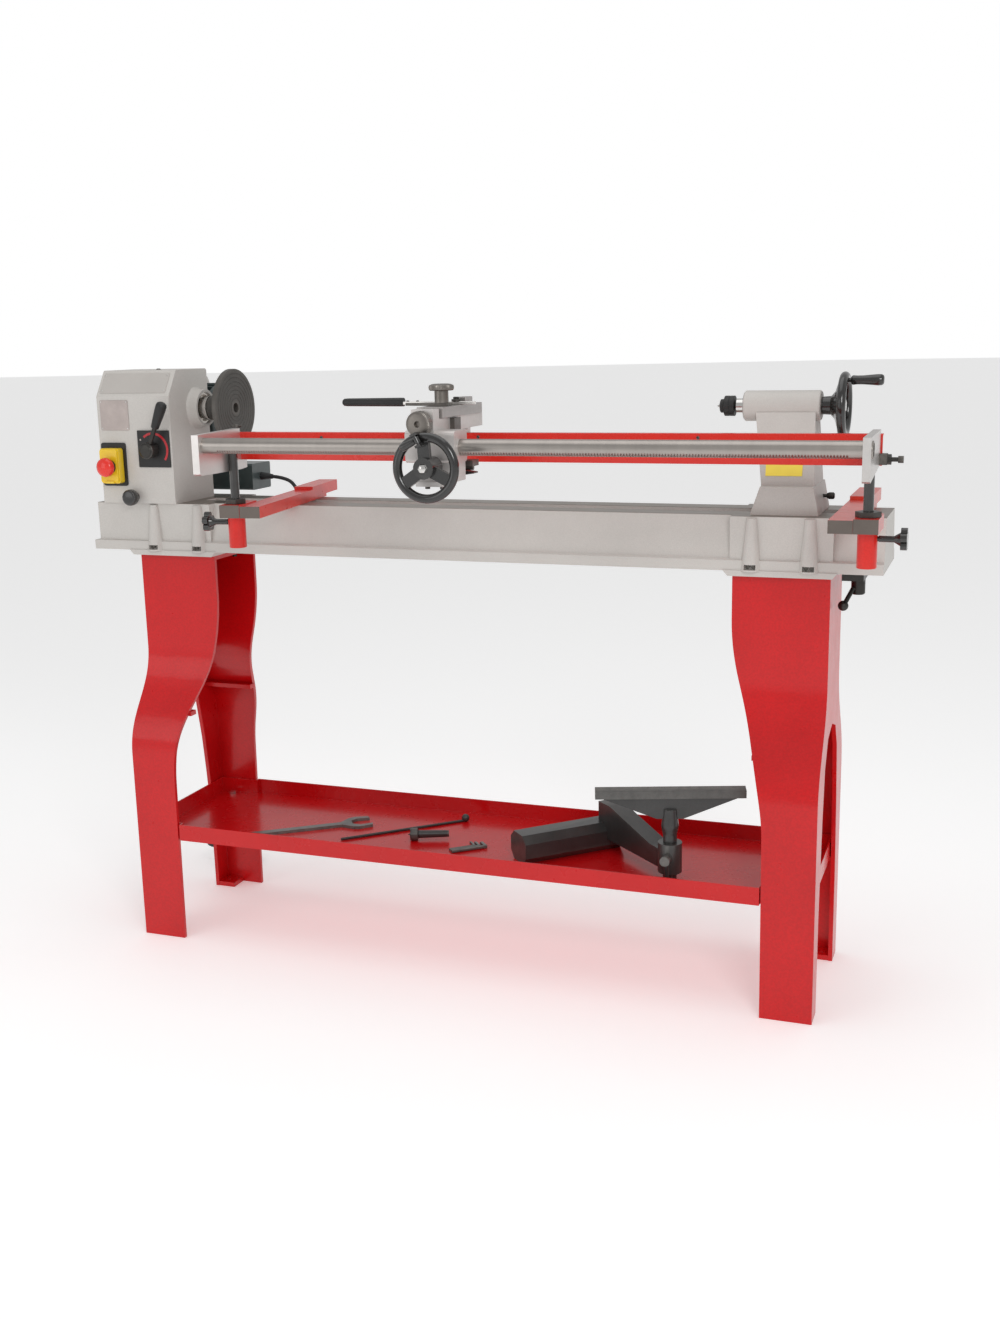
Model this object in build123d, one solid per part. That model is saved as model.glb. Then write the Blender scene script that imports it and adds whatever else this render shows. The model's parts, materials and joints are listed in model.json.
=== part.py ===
from build123d import *
import math
import os

# Wood lathe on a two-leg stand, with a copying attachment hung in front of the bed.
# Millimetres. X runs along the bed from headstock (-X) to tailstock (+X), Y from the operator's
# side (-Y) to the back, Z up from the floor. The origin is the centre of the four floor holes.

# ---- driving dimensions: machine ----
BED_TOP = 880.0
SPINDLE_Z = 1060.0
BED_LEFT, BED_RIGHT = -772.0, 765.0
BED_BOTTOM = 787.0
PAD_BOTTOM = 778.0
BED_TOP_HALF = 72.0
BED_FLANGE_HALF = 97.0
BED_END_HALF = 92.0
SLOT_HALF = 24.0
WAY_BOTTOM = 855.0
LEG_X = 594.0
LEG_HALF = 84.0
LEG_TOP_Y = 80.0
LEG_FOOT_Y = 163.0
LEG_PLATE = 8.0
TRAY_TOP, TRAY_FLOOR = 243.0, 213.0
RUN = 0.06            # radial clearance of a running fit
GAP = 0.4             # clearance between bodies that pass each other

# ---- driving dimensions: headstock and motor ----
HEAD_LEFT, HEAD_RIGHT = -742.0, -578.0
HEAD_FRONT, HEAD_BACK = -98.0, 45.0
HEAD_TOP, HEAD_SLOPE_Z, HEAD_SLOPE_Y = 1136.0, 1087.0, -66.0
HEAD_WALL = 7.0
BOSS_R = 36.0         # inner bearing bosses, clear of the cavity walls
FACEPLATE_R = 75.0
FACE_X = -489.0
MOTOR_Y, MOTOR_Z, MOTOR_R = 150.0, 1030.0, 75.0
PULLEY_X = -703.0
LEVER_X, BUTTON_X = -621.0, -707.0
SPINDLE_PULLEY_R, MOTOR_PULLEY_R = 42.0, 30.0

# ---- driving dimensions: tailstock ----
BARREL_L, BARREL_R = 513.0, 645.0
BARREL_RAD, QUILL_RAD = 26.0, 12.5
WHEEL_R, RIM_R = 49.0, 7.5

# ---- driving dimensions: copying attachment ----
POST_XL, POST_XR, POST_Y, POST_R = -353.0, 753.0, -254.0, 8.0
TUBE_Y, TUBE_Z, TUBE_R = -336.0, 1012.0, 13.5
LEFT_PLATE, RIGHT_PLATE = (-373.0, -359.5), (752.0, 764.0)
PLATE_FRONT, PLATE_BACK = -356.0, -214.0
RAIL_Z0, RAIL_Z1, RAIL_DEPTH = 978.0, 1027.0, 16.0
ARM_Z0, ARM_Z1 = 880.0, 903.0
ARM_FRONT, ARM_REAR = -286.0, 150.0
ARM_BAR = 38.0
LEFT_ARM_SWING = 8.0
CAR_X, BRIDGE_HALF = 65.0, 19.0
SLIDE_TOP, STUD_X, STUD_Y = 1076.0, 67.0, -292.0
FEED_LEVER_X, FEED_LEVER_Y = 76.0, -250.0
WHEEL_X, WHEEL_Z, WHEEL_Y = 82.0, 984.0, -403.0


def box(x0, x1, y0, y1, z0, z1):
    """Block between two corners."""
    return Pos((x0 + x1) / 2, (y0 + y1) / 2, (z0 + z1) / 2) * Box(x1 - x0, y1 - y0, z1 - z0)


AXIS_TURN = {"X": (0, 0, 0), "Y": (0, 0, 90), "Z": (0, -90, 0)}


def turned(axis, centre, profile):
    """Turned piece: profile is (distance along the axis, radius) points, closed on the axis."""
    points = [(profile[0][0], 0.0)] + list(profile) + [(profile[-1][0], 0.0)]
    outline = [p for i, p in enumerate(points) if i == 0 or p != points[i - 1]]
    face = make_face(Polyline(*outline, close=True))
    solid = revolve(face, Axis.X, 360)
    return Pos(*centre) * Rot(*AXIS_TURN[axis]) * solid


def rod(axis, start, end, a, b, radius):
    """Round bar along an axis; a and b are the other two coordinates in X, Y, Z order."""
    centre = {"X": (0, a, b), "Y": (a, 0, b), "Z": (a, b, 0)}[axis]
    return turned(axis, centre, [(start, radius), (end, radius)])


def plate_xz(points, y0, y1):
    """Outline in X and Z, thick from y0 to y1."""
    face = make_face(Plane.XZ * Polyline(*points, close=True))
    return Pos(0, y1, 0) * extrude(face, y1 - y0, dir=(0, -1, 0))


def plate_yz(points, x0, x1):
    """Outline in Y and Z, thick from x0 to x1."""
    face = make_face(Plane.YZ * Polyline(*points, close=True))
    return Pos(x0, 0, 0) * extrude(face, x1 - x0, dir=(1, 0, 0))


def plate_xy(points, z0, z1):
    """Outline in X and Y, thick from z0 to z1."""
    face = make_face(Polyline(*points, close=True))
    return Pos(0, 0, z0) * extrude(face, z1 - z0, dir=(0, 0, 1))


def strut(p, q, radius_p, radius_q=None):
    """Round bar between two points, tapered if the radii differ."""
    a, b = Vector(*p), Vector(*q)
    plane = Plane(origin=a, z_dir=(b - a).normalized())
    end = radius_p if radius_q is None else radius_q
    if abs(end - radius_p) < 1e-6:
        return plane * Cylinder(radius_p, (b - a).length, align=(Align.CENTER, Align.CENTER, Align.MIN))
    return plane * Cone(radius_p, end, (b - a).length, align=(Align.CENTER, Align.CENTER, Align.MIN))


def hexagon(axis, start, end, a, b, across_flats):
    """Hexagonal bar along an axis."""
    bar = extrude(RegularPolygon(across_flats / 2, 6, major_radius=False), end - start)
    turn = {"X": (0, 90, 0), "Y": (-90, 0, 0), "Z": (0, 0, 0)}[axis]
    place = {"X": (start, a, b), "Y": (a, start, b), "Z": (a, b, start)}[axis]
    return Pos(*place) * Rot(*turn) * bar


def spoked_wheel(radius, tube, count, axis_x, y, z, hub_r, hub_y0, hub_y1, spoke_w, spoke_t):
    """Spoked handwheel with its axis along Y, as one casting."""
    wheel = Pos(axis_x, y, z) * Rot(90, 0, 0) * Torus(radius, tube)
    wheel += rod("Y", hub_y0, hub_y1, axis_x, z, hub_r)
    for i in range(count):
        angle = math.radians(90 + 360 / count * i + 4)
        spoke = Box(spoke_w, spoke_t, radius - 2, align=(Align.CENTER, Align.CENTER, Align.MIN))
        wheel += Pos(axis_x, y, z) * Rot(0, 90 - math.degrees(angle), 0) * spoke
    return wheel


# ---------------------------------------------------------------- stand

def leg(side):
    """Cast leg: two plates that step outwards half way down, joined by an arched web at the outer end."""
    def bent_plate(y_sign):
        top, foot, t = LEG_TOP_Y, LEG_FOOT_Y, LEG_PLATE
        outer = [Line((top, PAD_BOTTOM), (top, 590)), Bezier((top, 590), (top, 500), (foot, 475), (foot, 385)),
                 Line((foot, 385), (foot, 0)), Line((foot, 0), (foot - t, 0)), Line((foot - t, 0), (foot - t, 382)),
                 Bezier((foot - t, 382), (foot - t, 470), (top - t, 500), (top - t, 588)),
                 Line((top - t, 588), (top - t, PAD_BOTTOM)), Line((top - t, PAD_BOTTOM), (top, PAD_BOTTOM))]
        band = extrude(Plane.YZ * make_face(outer), LEG_HALF, both=True)
        edge = [Line((-LEG_HALF, PAD_BOTTOM), (-LEG_HALF, 0)), Line((-LEG_HALF, 0), (8, 0)),
                Line((8, 0), (10, 330)), Bezier((10, 330), (12, 470), (83, 560), (83, 700)),
                Line((83, 700), (83, PAD_BOTTOM)), Line((83, PAD_BOTTOM), (-LEG_HALF, PAD_BOTTOM))]
        outline = Pos(0, 200, 0) * extrude(Plane.XZ * make_face(edge), 200)
        plate = band & outline
        return plate if y_sign > 0 else mirror(plate, Plane.XZ)

    body = bent_plate(1) + bent_plate(-1)
    inside = LEG_TOP_Y - LEG_PLATE + 2
    web_side = [(76, PAD_BOTTOM), (76, 590), (89, 532), (117.5, 486), (146, 440), (159, 385), (159, 0)]
    arch_side = [(114, 0), (112, 180), (104, 276), (96, 350), (80, 443), (50, 488), (0, 503)]
    half_web = web_side + arch_side
    web = half_web + [(-y, z) for y, z in reversed(half_web[:-1])]
    body += plate_yz(web, -LEG_HALF, -LEG_HALF + 8)
    body += box(-LEG_HALF, 80, -inside, inside, PAD_BOTTOM - 10, PAD_BOTTOM)
    for y_sign in (1, -1):
        rib = box(-LEG_HALF, 36, 108, 127, 461, 470)
        body += rib if y_sign > 0 else mirror(rib, Plane.XZ)
        y_face = y_sign * (LEG_FOOT_Y - LEG_PLATE)
        lug = Pos(-61, y_face - y_sign * 19, 5) * Box(46, 42, 10)
        lug -= Pos(-61, y_face - y_sign * 22, 5) * Cylinder(7, 20)
        body += lug
        tray_ledge = Pos(-38, y_face - y_sign * 17, TRAY_FLOOR - 7) * Box(76, 38, 8)
        tray_ledge -= Pos(-38, y_face - y_sign * 22, TRAY_FLOOR - 7) * Cylinder(4.3, 20)
        body += tray_ledge
    for x in (-49, 49):
        for y in (-55, 55):
            body -= Pos(x, y, PAD_BOTTOM - 5) * Cylinder(5.3, 30)
    if side > 0:
        body = mirror(body, Plane.YZ)
    return Pos(side * LEG_X, 0, 0) * body


def tool_tray():
    """Folded sheet tray between the legs, with narrower ends that sit on ledges inside the legs."""
    t = 3.0
    mid, wide, reach, narrow = LEG_X - 12, LEG_FOOT_Y - 1, LEG_X + 74, LEG_FOOT_Y - LEG_PLATE - 3
    outline = [(-mid, -wide), (mid, -wide), (mid, -narrow), (reach, -narrow), (reach, narrow), (mid, narrow),
               (mid, wide), (-mid, wide), (-mid, narrow), (-reach, narrow), (-reach, -narrow), (-mid, -narrow)]
    inset = [(-mid + t, -wide + t), (mid - t, -wide + t), (mid - t, -narrow + t), (reach - t, -narrow + t),
             (reach - t, narrow - t), (mid - t, narrow - t), (mid - t, wide - t), (-mid + t, wide - t),
             (-mid + t, narrow - t), (-reach + t, narrow - t), (-reach + t, -narrow + t), (-mid + t, -narrow + t)]
    tray = plate_xy(outline, TRAY_FLOOR - t, TRAY_TOP) - plate_xy(inset, TRAY_FLOOR, TRAY_TOP + 10)
    for x in (-LEG_X - 38, LEG_X + 38):
        for y in (-1, 1):
            tray -= Pos(x, y * (LEG_FOOT_Y - LEG_PLATE - 22), TRAY_FLOOR) * Cylinder(4.3, 20)
    return tray


def stand_bolts():
    """Hexagon bolts: four through each bed pad into a leg, four through the tray into its ledges."""
    bolts = []
    for side in (-1, 1):
        for x in (-49, 49):
            for y in (-1, 1):
                cx, cy = side * LEG_X + x, y * 55
                shank = rod("Z", PAD_BOTTOM - 22, PAD_BOTTOM + 9, cx, cy, 5)
                bolts.append(shank + hexagon("Z", PAD_BOTTOM + 9, PAD_BOTTOM + 16, cx, cy, 17))
        for y in (-1, 1):
            cx, cy = side * (LEG_X + 38), y * (LEG_FOOT_Y - LEG_PLATE - 22)
            shank = rod("Z", TRAY_FLOOR - 22, TRAY_FLOOR, cx, cy, 4)
            bolts.append(shank + hexagon("Z", TRAY_FLOOR, TRAY_FLOOR + 5.5, cx, cy, 13))
    return Compound(bolts)


def bed():
    """Cast bed: two ways with a slot, flared walls and a foot flange, wider boxes over the legs."""
    flare = [(-BED_TOP_HALF, BED_TOP), (BED_TOP_HALF, BED_TOP), (88, 808), (BED_FLANGE_HALF, 805),
             (BED_FLANGE_HALF, BED_BOTTOM), (-BED_FLANGE_HALF, BED_BOTTOM), (-BED_FLANGE_HALF, 805), (-88, 808)]
    body = plate_yz(flare, BED_LEFT + 10, BED_RIGHT)
    body += box(BED_LEFT, BED_LEFT + 20, -BED_FLANGE_HALF, BED_FLANGE_HALF, BED_BOTTOM, 805)
    for x0, x1 in ((BED_LEFT + 10, -508), (508, 682)):
        body += box(x0, x1, -BED_END_HALF, BED_END_HALF, BED_BOTTOM, BED_TOP)
    for side in (-1, 1):
        c = side * LEG_X
        pad = [(c - 97, BED_BOTTOM + 1), (c - 88, PAD_BOTTOM), (c + 88, PAD_BOTTOM), (c + 97, BED_BOTTOM + 1)]
        body += plate_xz(pad, -BED_FLANGE_HALF - 2, BED_FLANGE_HALF + 2)
    hollow = [(-60, WAY_BOTTOM), (60, WAY_BOTTOM), (78, PAD_BOTTOM + 9), (-78, PAD_BOTTOM + 9)]
    body -= plate_yz(hollow, BED_LEFT + 24, BED_RIGHT - 12)
    body -= plate_yz([(-78, BED_BOTTOM + 1), (78, BED_BOTTOM + 1), (78, 770), (-78, 770)], -LEG_X + 100, LEG_X - 100)
    body -= plate_yz([(-78, BED_BOTTOM + 1), (78, BED_BOTTOM + 1), (78, 770), (-78, 770)], LEG_X + 100, BED_RIGHT - 12)
    body -= box(-560, BED_RIGHT - 30, -SLOT_HALF, SLOT_HALF, WAY_BOTTOM - 5, BED_TOP + 5)
    for x in (-330, 0, 330):
        body += box(x - 5, x + 5, -77, 77, BED_BOTTOM, 822)
    for side in (-1, 1):
        for x in (-49, 49):
            for y in (-1, 1):
                cx = side * LEG_X + x
                boss_x = cx + (11 if side < 0 else 0)
                cone = Pos(boss_x, y * BED_END_HALF, 787) * Cone(17, 9, 90, align=(Align.CENTER, Align.CENTER, Align.MIN))
                body += cone & box(boss_x - 30, boss_x + 30, y * 80 - 40, y * 80 + 40, 787, BED_TOP)
                body -= Pos(cx, y * 55, PAD_BOTTOM) * Cylinder(5.3, 40)
                body -= box(boss_x - 10, boss_x + 10, y * 103 - 9, y * 103 + 9, 790, 799)
    return body


# ---------------------------------------------------------------- headstock

def headstock_housing():
    """Cast housing with a sloped front panel, hollow, with a bearing boss at each end."""
    outline = [(HEAD_FRONT, BED_TOP), (HEAD_FRONT, HEAD_SLOPE_Z), (HEAD_SLOPE_Y, HEAD_TOP), (HEAD_BACK, HEAD_TOP),
               (HEAD_BACK, BED_TOP)]
    w = HEAD_WALL
    cavity = [(HEAD_FRONT + w, BED_TOP - 1), (HEAD_FRONT + w, HEAD_SLOPE_Z - 2), (HEAD_SLOPE_Y + 4, HEAD_TOP - w),
              (HEAD_BACK - w, HEAD_TOP - w), (HEAD_BACK - w, BED_TOP - 1)]
    body = plate_yz(outline, HEAD_LEFT, HEAD_RIGHT)
    body = fillet(body.edges().filter_by(Axis.X).group_by(Axis.Z)[-1], 6)
    body -= plate_yz(cavity, HEAD_LEFT + w, HEAD_RIGHT - w)
    body += turned("X", (0, 0, SPINDLE_Z), [(-604, BOSS_R), (-578, 41), (-574, 38), (-568, 36.6), (-556, BOSS_R)])
    body += turned("X", (0, 0, SPINDLE_Z), [(HEAD_LEFT + 1, BOSS_R), (-724, BOSS_R)])
    body -= rod("X", -608, -550, 0, SPINDLE_Z, 22)
    body -= rod("X", -578, -550, 0, SPINDLE_Z, 31)
    body -= rod("X", -750, -720, 0, SPINDLE_Z, 22)
    body -= rod("X", -740, -720, 0, SPINDLE_Z, 31)
    body -= box(-736, -684, HEAD_BACK - 10, HEAD_BACK + 5, 985, 1112)
    body -= rod("Y", HEAD_FRONT - 2, HEAD_FRONT + 20, LEVER_X, 984.5, 8 + RUN)
    body -= rod("Y", HEAD_FRONT - 2, HEAD_FRONT + 20, -668, 893, 5 + RUN)
    return body


def belt_cover():
    """Pressed cover over the belt, behind the housing, which also carries the motor."""
    x0, x1, y0, y1, z0, z1, t = HEAD_LEFT, -680, HEAD_BACK, 225, 945, 1122, 4
    cover = fillet(box(x0, x1, y0, y1, z0, z1).edges().filter_by(Axis.X).group_by(Axis.Y)[-1], 26)
    cover -= box(x0 + t, x1 - t, y0 - 1, y1 - 28, z0 + t, z1 - t)
    cover -= fillet(box(x0 + t, x1 - t, y1 - 90, y1 - t, z0 + t, z1 - t).edges().filter_by(Axis.X)
                    .group_by(Axis.Y)[-1], 22)
    cover -= rod("X", x1 - 10, x1 + 5, MOTOR_Y, MOTOR_Z, 14)
    return cover


def label_plates():
    """Blank name plate on the slope and blank data plate on the front face."""
    dy, dz = HEAD_SLOPE_Y - HEAD_FRONT, HEAD_TOP - HEAD_SLOPE_Z
    length = math.hypot(dy, dz)
    mid = ((HEAD_LEFT + HEAD_RIGHT) / 2, (HEAD_FRONT + HEAD_SLOPE_Y) / 2, (HEAD_SLOPE_Z + HEAD_TOP) / 2)
    tilt = math.degrees(math.atan2(dz, dy))
    name = Pos(*mid) * Rot(tilt, 0, 0) * Pos(-2, 0, 0.6) * Box(148, length - 14, 1.2)
    data = box(-735, -671, HEAD_FRONT - 1, HEAD_FRONT, 1022, 1080)
    return Compound([name, data])


def control_plates():
    """Square speed dial behind the lever, and the back plate of the switch."""
    dial = box(-653, -582, HEAD_FRONT - 3, HEAD_FRONT, 951, 1022)
    dial -= rod("Y", HEAD_FRONT - 5, HEAD_FRONT + 1, LEVER_X, 984.5, 8 + RUN)
    back = box(-738, -682, HEAD_FRONT - 3, HEAD_FRONT, 914, 998)
    back = fillet(back.edges().filter_by(Axis.Y), 5)
    return Compound([dial, back])


def switch_box():
    """Safety switch body, hollow for the stop button's stem."""
    body = box(-731, -688, HEAD_FRONT - 23, HEAD_FRONT - 3, 920, 988)
    body = fillet(body.edges().filter_by(Axis.Y), 5)
    body -= rod("Y", HEAD_FRONT - 30, HEAD_FRONT - 6, BUTTON_X, 953, 6 + GAP)
    return body


def stop_button():
    """Mushroom stop button."""
    y = HEAD_FRONT - 23
    return turned("Y", (BUTTON_X, 0, 953), [(y - 26, 0.1), (y - 25, 8), (y - 21, 16), (y - 16, 18.5), (y - 11, 18.5),
                                            (y - 9, 13), (y - 9, 6), (y + 9, 6)])


def speed_lever():
    """Hub, shaft and rod of the variable speed lever."""
    y = HEAD_FRONT - 3
    lever = turned("Y", (LEVER_X, 0, 984.5), [(y - 25, 11), (y - 22, 15.5), (y - GAP, 15.5), (y - GAP, 8),
                                              (HEAD_FRONT + 30, 8)])
    return lever + strut((LEVER_X, y - 15, 984.5), (LEVER_X + 34, y - 22, 1052), 4.5)


def speed_lever_grip():
    """Tapered grip on the speed lever."""
    y = HEAD_FRONT - 3
    a, b = Vector(LEVER_X + 22, y - 19.5, 1028), Vector(LEVER_X + 46, y - 24.5, 1076)
    plane = Plane(origin=a, z_dir=(b - a).normalized())
    grip = plane * revolve(make_face(Plane.XZ * Polyline((0, 0), (7, 0), (10.5, 40), (10, 50), (6, 54), (0, 54),
                                                         close=True)), Axis.Z, 360)
    return grip - strut((LEVER_X, y - 15, 984.5), (LEVER_X + 34, y - 22, 1052), 4.5)


def index_knob():
    """Plunger that locks the spindle."""
    y = HEAD_FRONT
    knob = turned("Y", (-668, 0, 893), [(y - 27, 11), (y - 25, 15.5), (y - 12, 15.5), (y - 10, 9), (y - GAP, 9),
                                        (y - GAP, 5), (y + 24, 5)])
    return knob


def spindle():
    """Hollow spindle with a collar and a threaded nose."""
    shaft = turned("X", (0, 0, SPINDLE_Z), [(-752, 15), (-559.6, 15), (-559.6, 22), (-558, 23.5), (-544, 23.5),
                                            (-544, 16.5), (-500, 16.5)])
    return shaft - turned("X", (0, 0, SPINDLE_Z), [(-760, 5), (-560, 5), (-560, 7.2), (-495, 9.2)])


def spindle_bearings():
    """Two ball bearings, drawn as rings with the balls between."""
    rings = []
    for x in (-576, -737):
        outer = rod("X", x, x + 16, 0, SPINDLE_Z, 31) - rod("X", x - 1, x + 17, 0, SPINDLE_Z, 26)
        inner = rod("X", x, x + 16, 0, SPINDLE_Z, 20) - rod("X", x - 1, x + 17, 0, SPINDLE_Z, 15 + RUN)
        shield = rod("X", x + 6, x + 10, 0, SPINDLE_Z, 26.5) - rod("X", x, x + 16, 0, SPINDLE_Z, 19.5)
        rings.append(outer + inner + shield)
    return Compound(rings)


def faceplate():
    """Faceplate with a threaded hub."""
    plate = turned("X", (0, 0, SPINDLE_Z), [(-542, 24), (-508, 24), (-500, 34), (-499, FACEPLATE_R),
                                            (FACE_X - 1, FACEPLATE_R), (FACE_X, FACEPLATE_R - 1)])
    plate -= rod("X", -545, -500, 0, SPINDLE_Z, 16.5)
    return plate - rod("X", -510, FACE_X + 2, 0, SPINDLE_Z, 9.4)


def pulley(y, z, radius, bore, shaft_end):
    """Vee pulley on the belt's plane."""
    x = PULLEY_X
    profile = [(x - 15, radius + 10), (x - 12, radius + 10), (x - 5, radius - 6), (x + 5, radius - 6),
               (x + 12, radius + 10), (x + 15, radius + 10)]
    body = turned("X", (0, y, z), profile)
    if bore:
        return body - rod("X", x - 20, x + 20, y, z, bore)
    return body + rod("X", x, shaft_end, y, z, 9.5)


def drive_belt():
    """Vee belt round both pulleys, clear of their flanks."""
    dy, dz = MOTOR_Y, MOTOR_Z - SPINDLE_Z
    reach = math.hypot(dy, dz)
    tilt = math.degrees(math.atan2(dz, dy))

    def loop(r1, r2, half):
        alpha = math.asin((r1 - r2) / reach)
        s, c = math.sin(alpha), math.cos(alpha)
        a1, a2 = (r1 * s, r1 * c), (reach + r2 * s, r2 * c)
        edges = [Line(a1, a2), ThreePointArc(a2, (reach + r2, 0), (a2[0], -a2[1])), Line((a2[0], -a2[1]), (a1[0], -a1[1])),
                 ThreePointArc((a1[0], -a1[1]), (-r1, 0), a1)]
        return extrude(make_face(edges), half, both=True)

    outer = loop(SPINDLE_PULLEY_R + 8, MOTOR_PULLEY_R + 8, 4.5)
    inner = loop(SPINDLE_PULLEY_R + 1, MOTOR_PULLEY_R + 1, 20)
    flat = outer - inner
    return Pos(PULLEY_X, 0, SPINDLE_Z) * Rot(tilt, 0, 0) * Rot(0, 90, 0) * Rot(0, 0, 90) * flat


def motor_body():
    """Induction motor with cooling ribs and a domed fan cover."""
    body = turned("X", (0, MOTOR_Y, MOTOR_Z), [(-680, 62), (-676, MOTOR_R - 3), (-664, MOTOR_R - 3), (-664, MOTOR_R - 9),
                                               (-612, MOTOR_R - 9), (-612, MOTOR_R - 3), (-593, MOTOR_R - 4),
                                               (-588, MOTOR_R - 14)])
    for i in range(30):
        fin = box(-664, -612, MOTOR_Y - 1.2, MOTOR_Y + 1.2, MOTOR_Z + MOTOR_R - 12, MOTOR_Z + MOTOR_R - 1)
        body += Pos(0, MOTOR_Y, MOTOR_Z) * Rot(12 * i, 0, 0) * Pos(0, -MOTOR_Y, -MOTOR_Z) * fin
    return body - rod("X", -690, -670, MOTOR_Y, MOTOR_Z, 10 + GAP)


def capacitor_box():
    """Connection and capacitor box under the motor, on a saddle."""
    body = fillet(box(-655, -525, 112, 188, 886, 940).edges().filter_by(Axis.X), 4)
    body += box(-655, -605, 125, 175, 935, MOTOR_Z - MOTOR_R + 12)
    return body - rod("X", -690, -540, MOTOR_Y, MOTOR_Z, MOTOR_R)


# ---------------------------------------------------------------- tailstock

def tailstock_body():
    """Tailstock casting: base, leaning neck and barrel, with a tongue in the bed slot."""
    base = plate_xz([(538, BED_TOP), (653, BED_TOP), (644, 928), (554, 928)], -BED_TOP_HALF, BED_TOP_HALF)
    neck = plate_xz([(554, 926), (643, 926), (638, 1050), (537, 1050)], -80, 80)
    neck &= plate_yz([(-58, 926), (58, 926), (26, 1050), (-26, 1050)], 500, 700)
    barrel = turned("X", (0, 0, SPINDLE_Z), [(BARREL_L, BARREL_RAD - 3), (BARREL_L + 3, BARREL_RAD),
                                             (BARREL_R - 3, BARREL_RAD), (BARREL_R, BARREL_RAD - 3)])
    body = base + neck + barrel
    body += box(545, 646, -SLOT_HALF + GAP, SLOT_HALF - GAP, WAY_BOTTOM + 5, BED_TOP + 4)
    body -= rod("X", BARREL_L - 2, BARREL_R - 12, 0, SPINDLE_Z, QUILL_RAD + RUN)
    body -= rod("X", BARREL_R - 20, BARREL_R + 2, 0, SPINDLE_Z, 8 + RUN)
    body -= rod("X", 640, 660, 20, 905, 3 + RUN)
    return body - rod("Z", WAY_BOTTOM - 2, 900, 595, 0, 6)


def tailstock_clamp():
    """Clamp bolt and plate that grip the ways from below."""
    clamp = rod("Z", WAY_BOTTOM - 22, 899, 595, 0, 6)
    clamp += box(572, 618, -44, 44, WAY_BOTTOM - 12, WAY_BOTTOM - GAP)
    return clamp + hexagon("Z", WAY_BOTTOM - 22, WAY_BOTTOM - 12, 595, 0, 19)


def quill():
    """Tailstock quill with a keyway and a taper socket."""
    body = turned("X", (0, 0, SPINDLE_Z), [(499, QUILL_RAD - 1), (500, QUILL_RAD), (612, QUILL_RAD)])
    body -= rod("X", 490, 548, 0, SPINDLE_Z, 7 + RUN)
    return body - rod("X", 540, 620, 0, SPINDLE_Z, 6 + GAP)


def live_centre():
    """Rotating centre: taper shank, bearing head, nose ring and point."""
    return turned("X", (0, 0, SPINDLE_Z), [(465, 0.1), (470, 3), (470, 10), (472, 12), (477, 12), (479, 17.5),
                                           (497 - GAP, 17.5), (497 - GAP, 7), (546, 7)])


def tail_handwheel():
    """Dished handwheel with its feed screw and the pin of the crank handle."""
    dish = turned("X", (0, 0, SPINDLE_Z), [(BARREL_R + GAP, 15), (660, 16), (667, 24), (673, 42), (679, 46), (685, 46),
                                           (680, 41), (676, 26), (676, 10)])
    for i in range(3):
        angle = math.radians(30 + 120 * i)
        dish -= rod("X", 655, 700, 32 * math.cos(angle), SPINDLE_Z + 32 * math.sin(angle), 8)
    dish += Pos(682, 0, SPINDLE_Z) * Rot(0, 90, 0) * Torus(WHEEL_R, RIM_R)
    dish += rod("X", BARREL_R - 18, BARREL_R + 5, 0, SPINDLE_Z, 8)
    dish += rod("X", 550, BARREL_R - 10, 0, SPINDLE_Z, 6)
    return dish + rod("X", 676.5, 742, 0, SPINDLE_Z + 42, 3.5)


def tail_crank_handle():
    """Free turning handle on the handwheel's pin."""
    z = SPINDLE_Z + 42
    body = turned("X", (0, 0, z), [(692, 6), (694, 8), (712, 7.6), (736, 9.5), (744, 9), (746, 6)])
    return body - rod("X", 680, 742.5, 0, z, 3.5 + RUN)


def tail_lock_screw():
    """Small screw with a round head that locks the tailstock's side setting."""
    return turned("X", (0, 20, 905), [(645, 3), (655, 3), (655, 4.5), (659, 6), (666, 6), (668, 4)])


# ---------------------------------------------------------------- copying attachment

def swing(shape):
    """Turn a piece of the left arm about its post."""
    return Pos(POST_XL, POST_Y, 0) * Rot(0, 0, LEFT_ARM_SWING) * Pos(-POST_XL, -POST_Y, 0) * shape


def arm(post_x, inboard):
    """Arm over the bed: a flat bar and a post block side by side, a raised tail, and the post socket."""
    def span(a, b):
        return (post_x + inboard * a, post_x + inboard * b) if inboard > 0 else (post_x - b, post_x - a)

    half = ARM_BAR / 2
    body = box(*span(-half, half), ARM_FRONT, ARM_FRONT + 84, ARM_Z0 + 0.2, ARM_Z1)
    body += box(*span(half, half + ARM_BAR), ARM_FRONT, ARM_REAR, ARM_Z0 + 0.2, ARM_Z1 - 2)
    body -= box(*span(half, half + ARM_BAR), BED_TOP_HALF + 8, ARM_REAR + 1, ARM_Z0, ARM_Z0 + 6)
    body += box(*span(half, half + ARM_BAR), 0, ARM_REAR, ARM_Z1 - 4, ARM_Z1 + 4)
    body += turned("Z", (post_x, POST_Y, 0), [(824, 14.5), (825, 15.5), (ARM_Z0 + 2, 15.5)])
    body -= rod("Z", 820, ARM_Z1 + 5, post_x, POST_Y, POST_R + RUN)
    x0, x1 = span(-40, 0)
    body -= rod("X", min(x0, x1), max(x0, x1), POST_Y, 870, 4 + RUN)
    seam = post_x + inboard * half
    body -= box(seam - 0.6, seam + 0.6, ARM_FRONT - 1, ARM_FRONT + 1.2, ARM_Z0, ARM_Z1 + 1)
    bolt_x = sum(span(half, half + ARM_BAR)) / 2
    body -= rod("Z", ARM_Z0 - 5, ARM_Z1 - 6, bolt_x, 0, 6)
    return body


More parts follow.
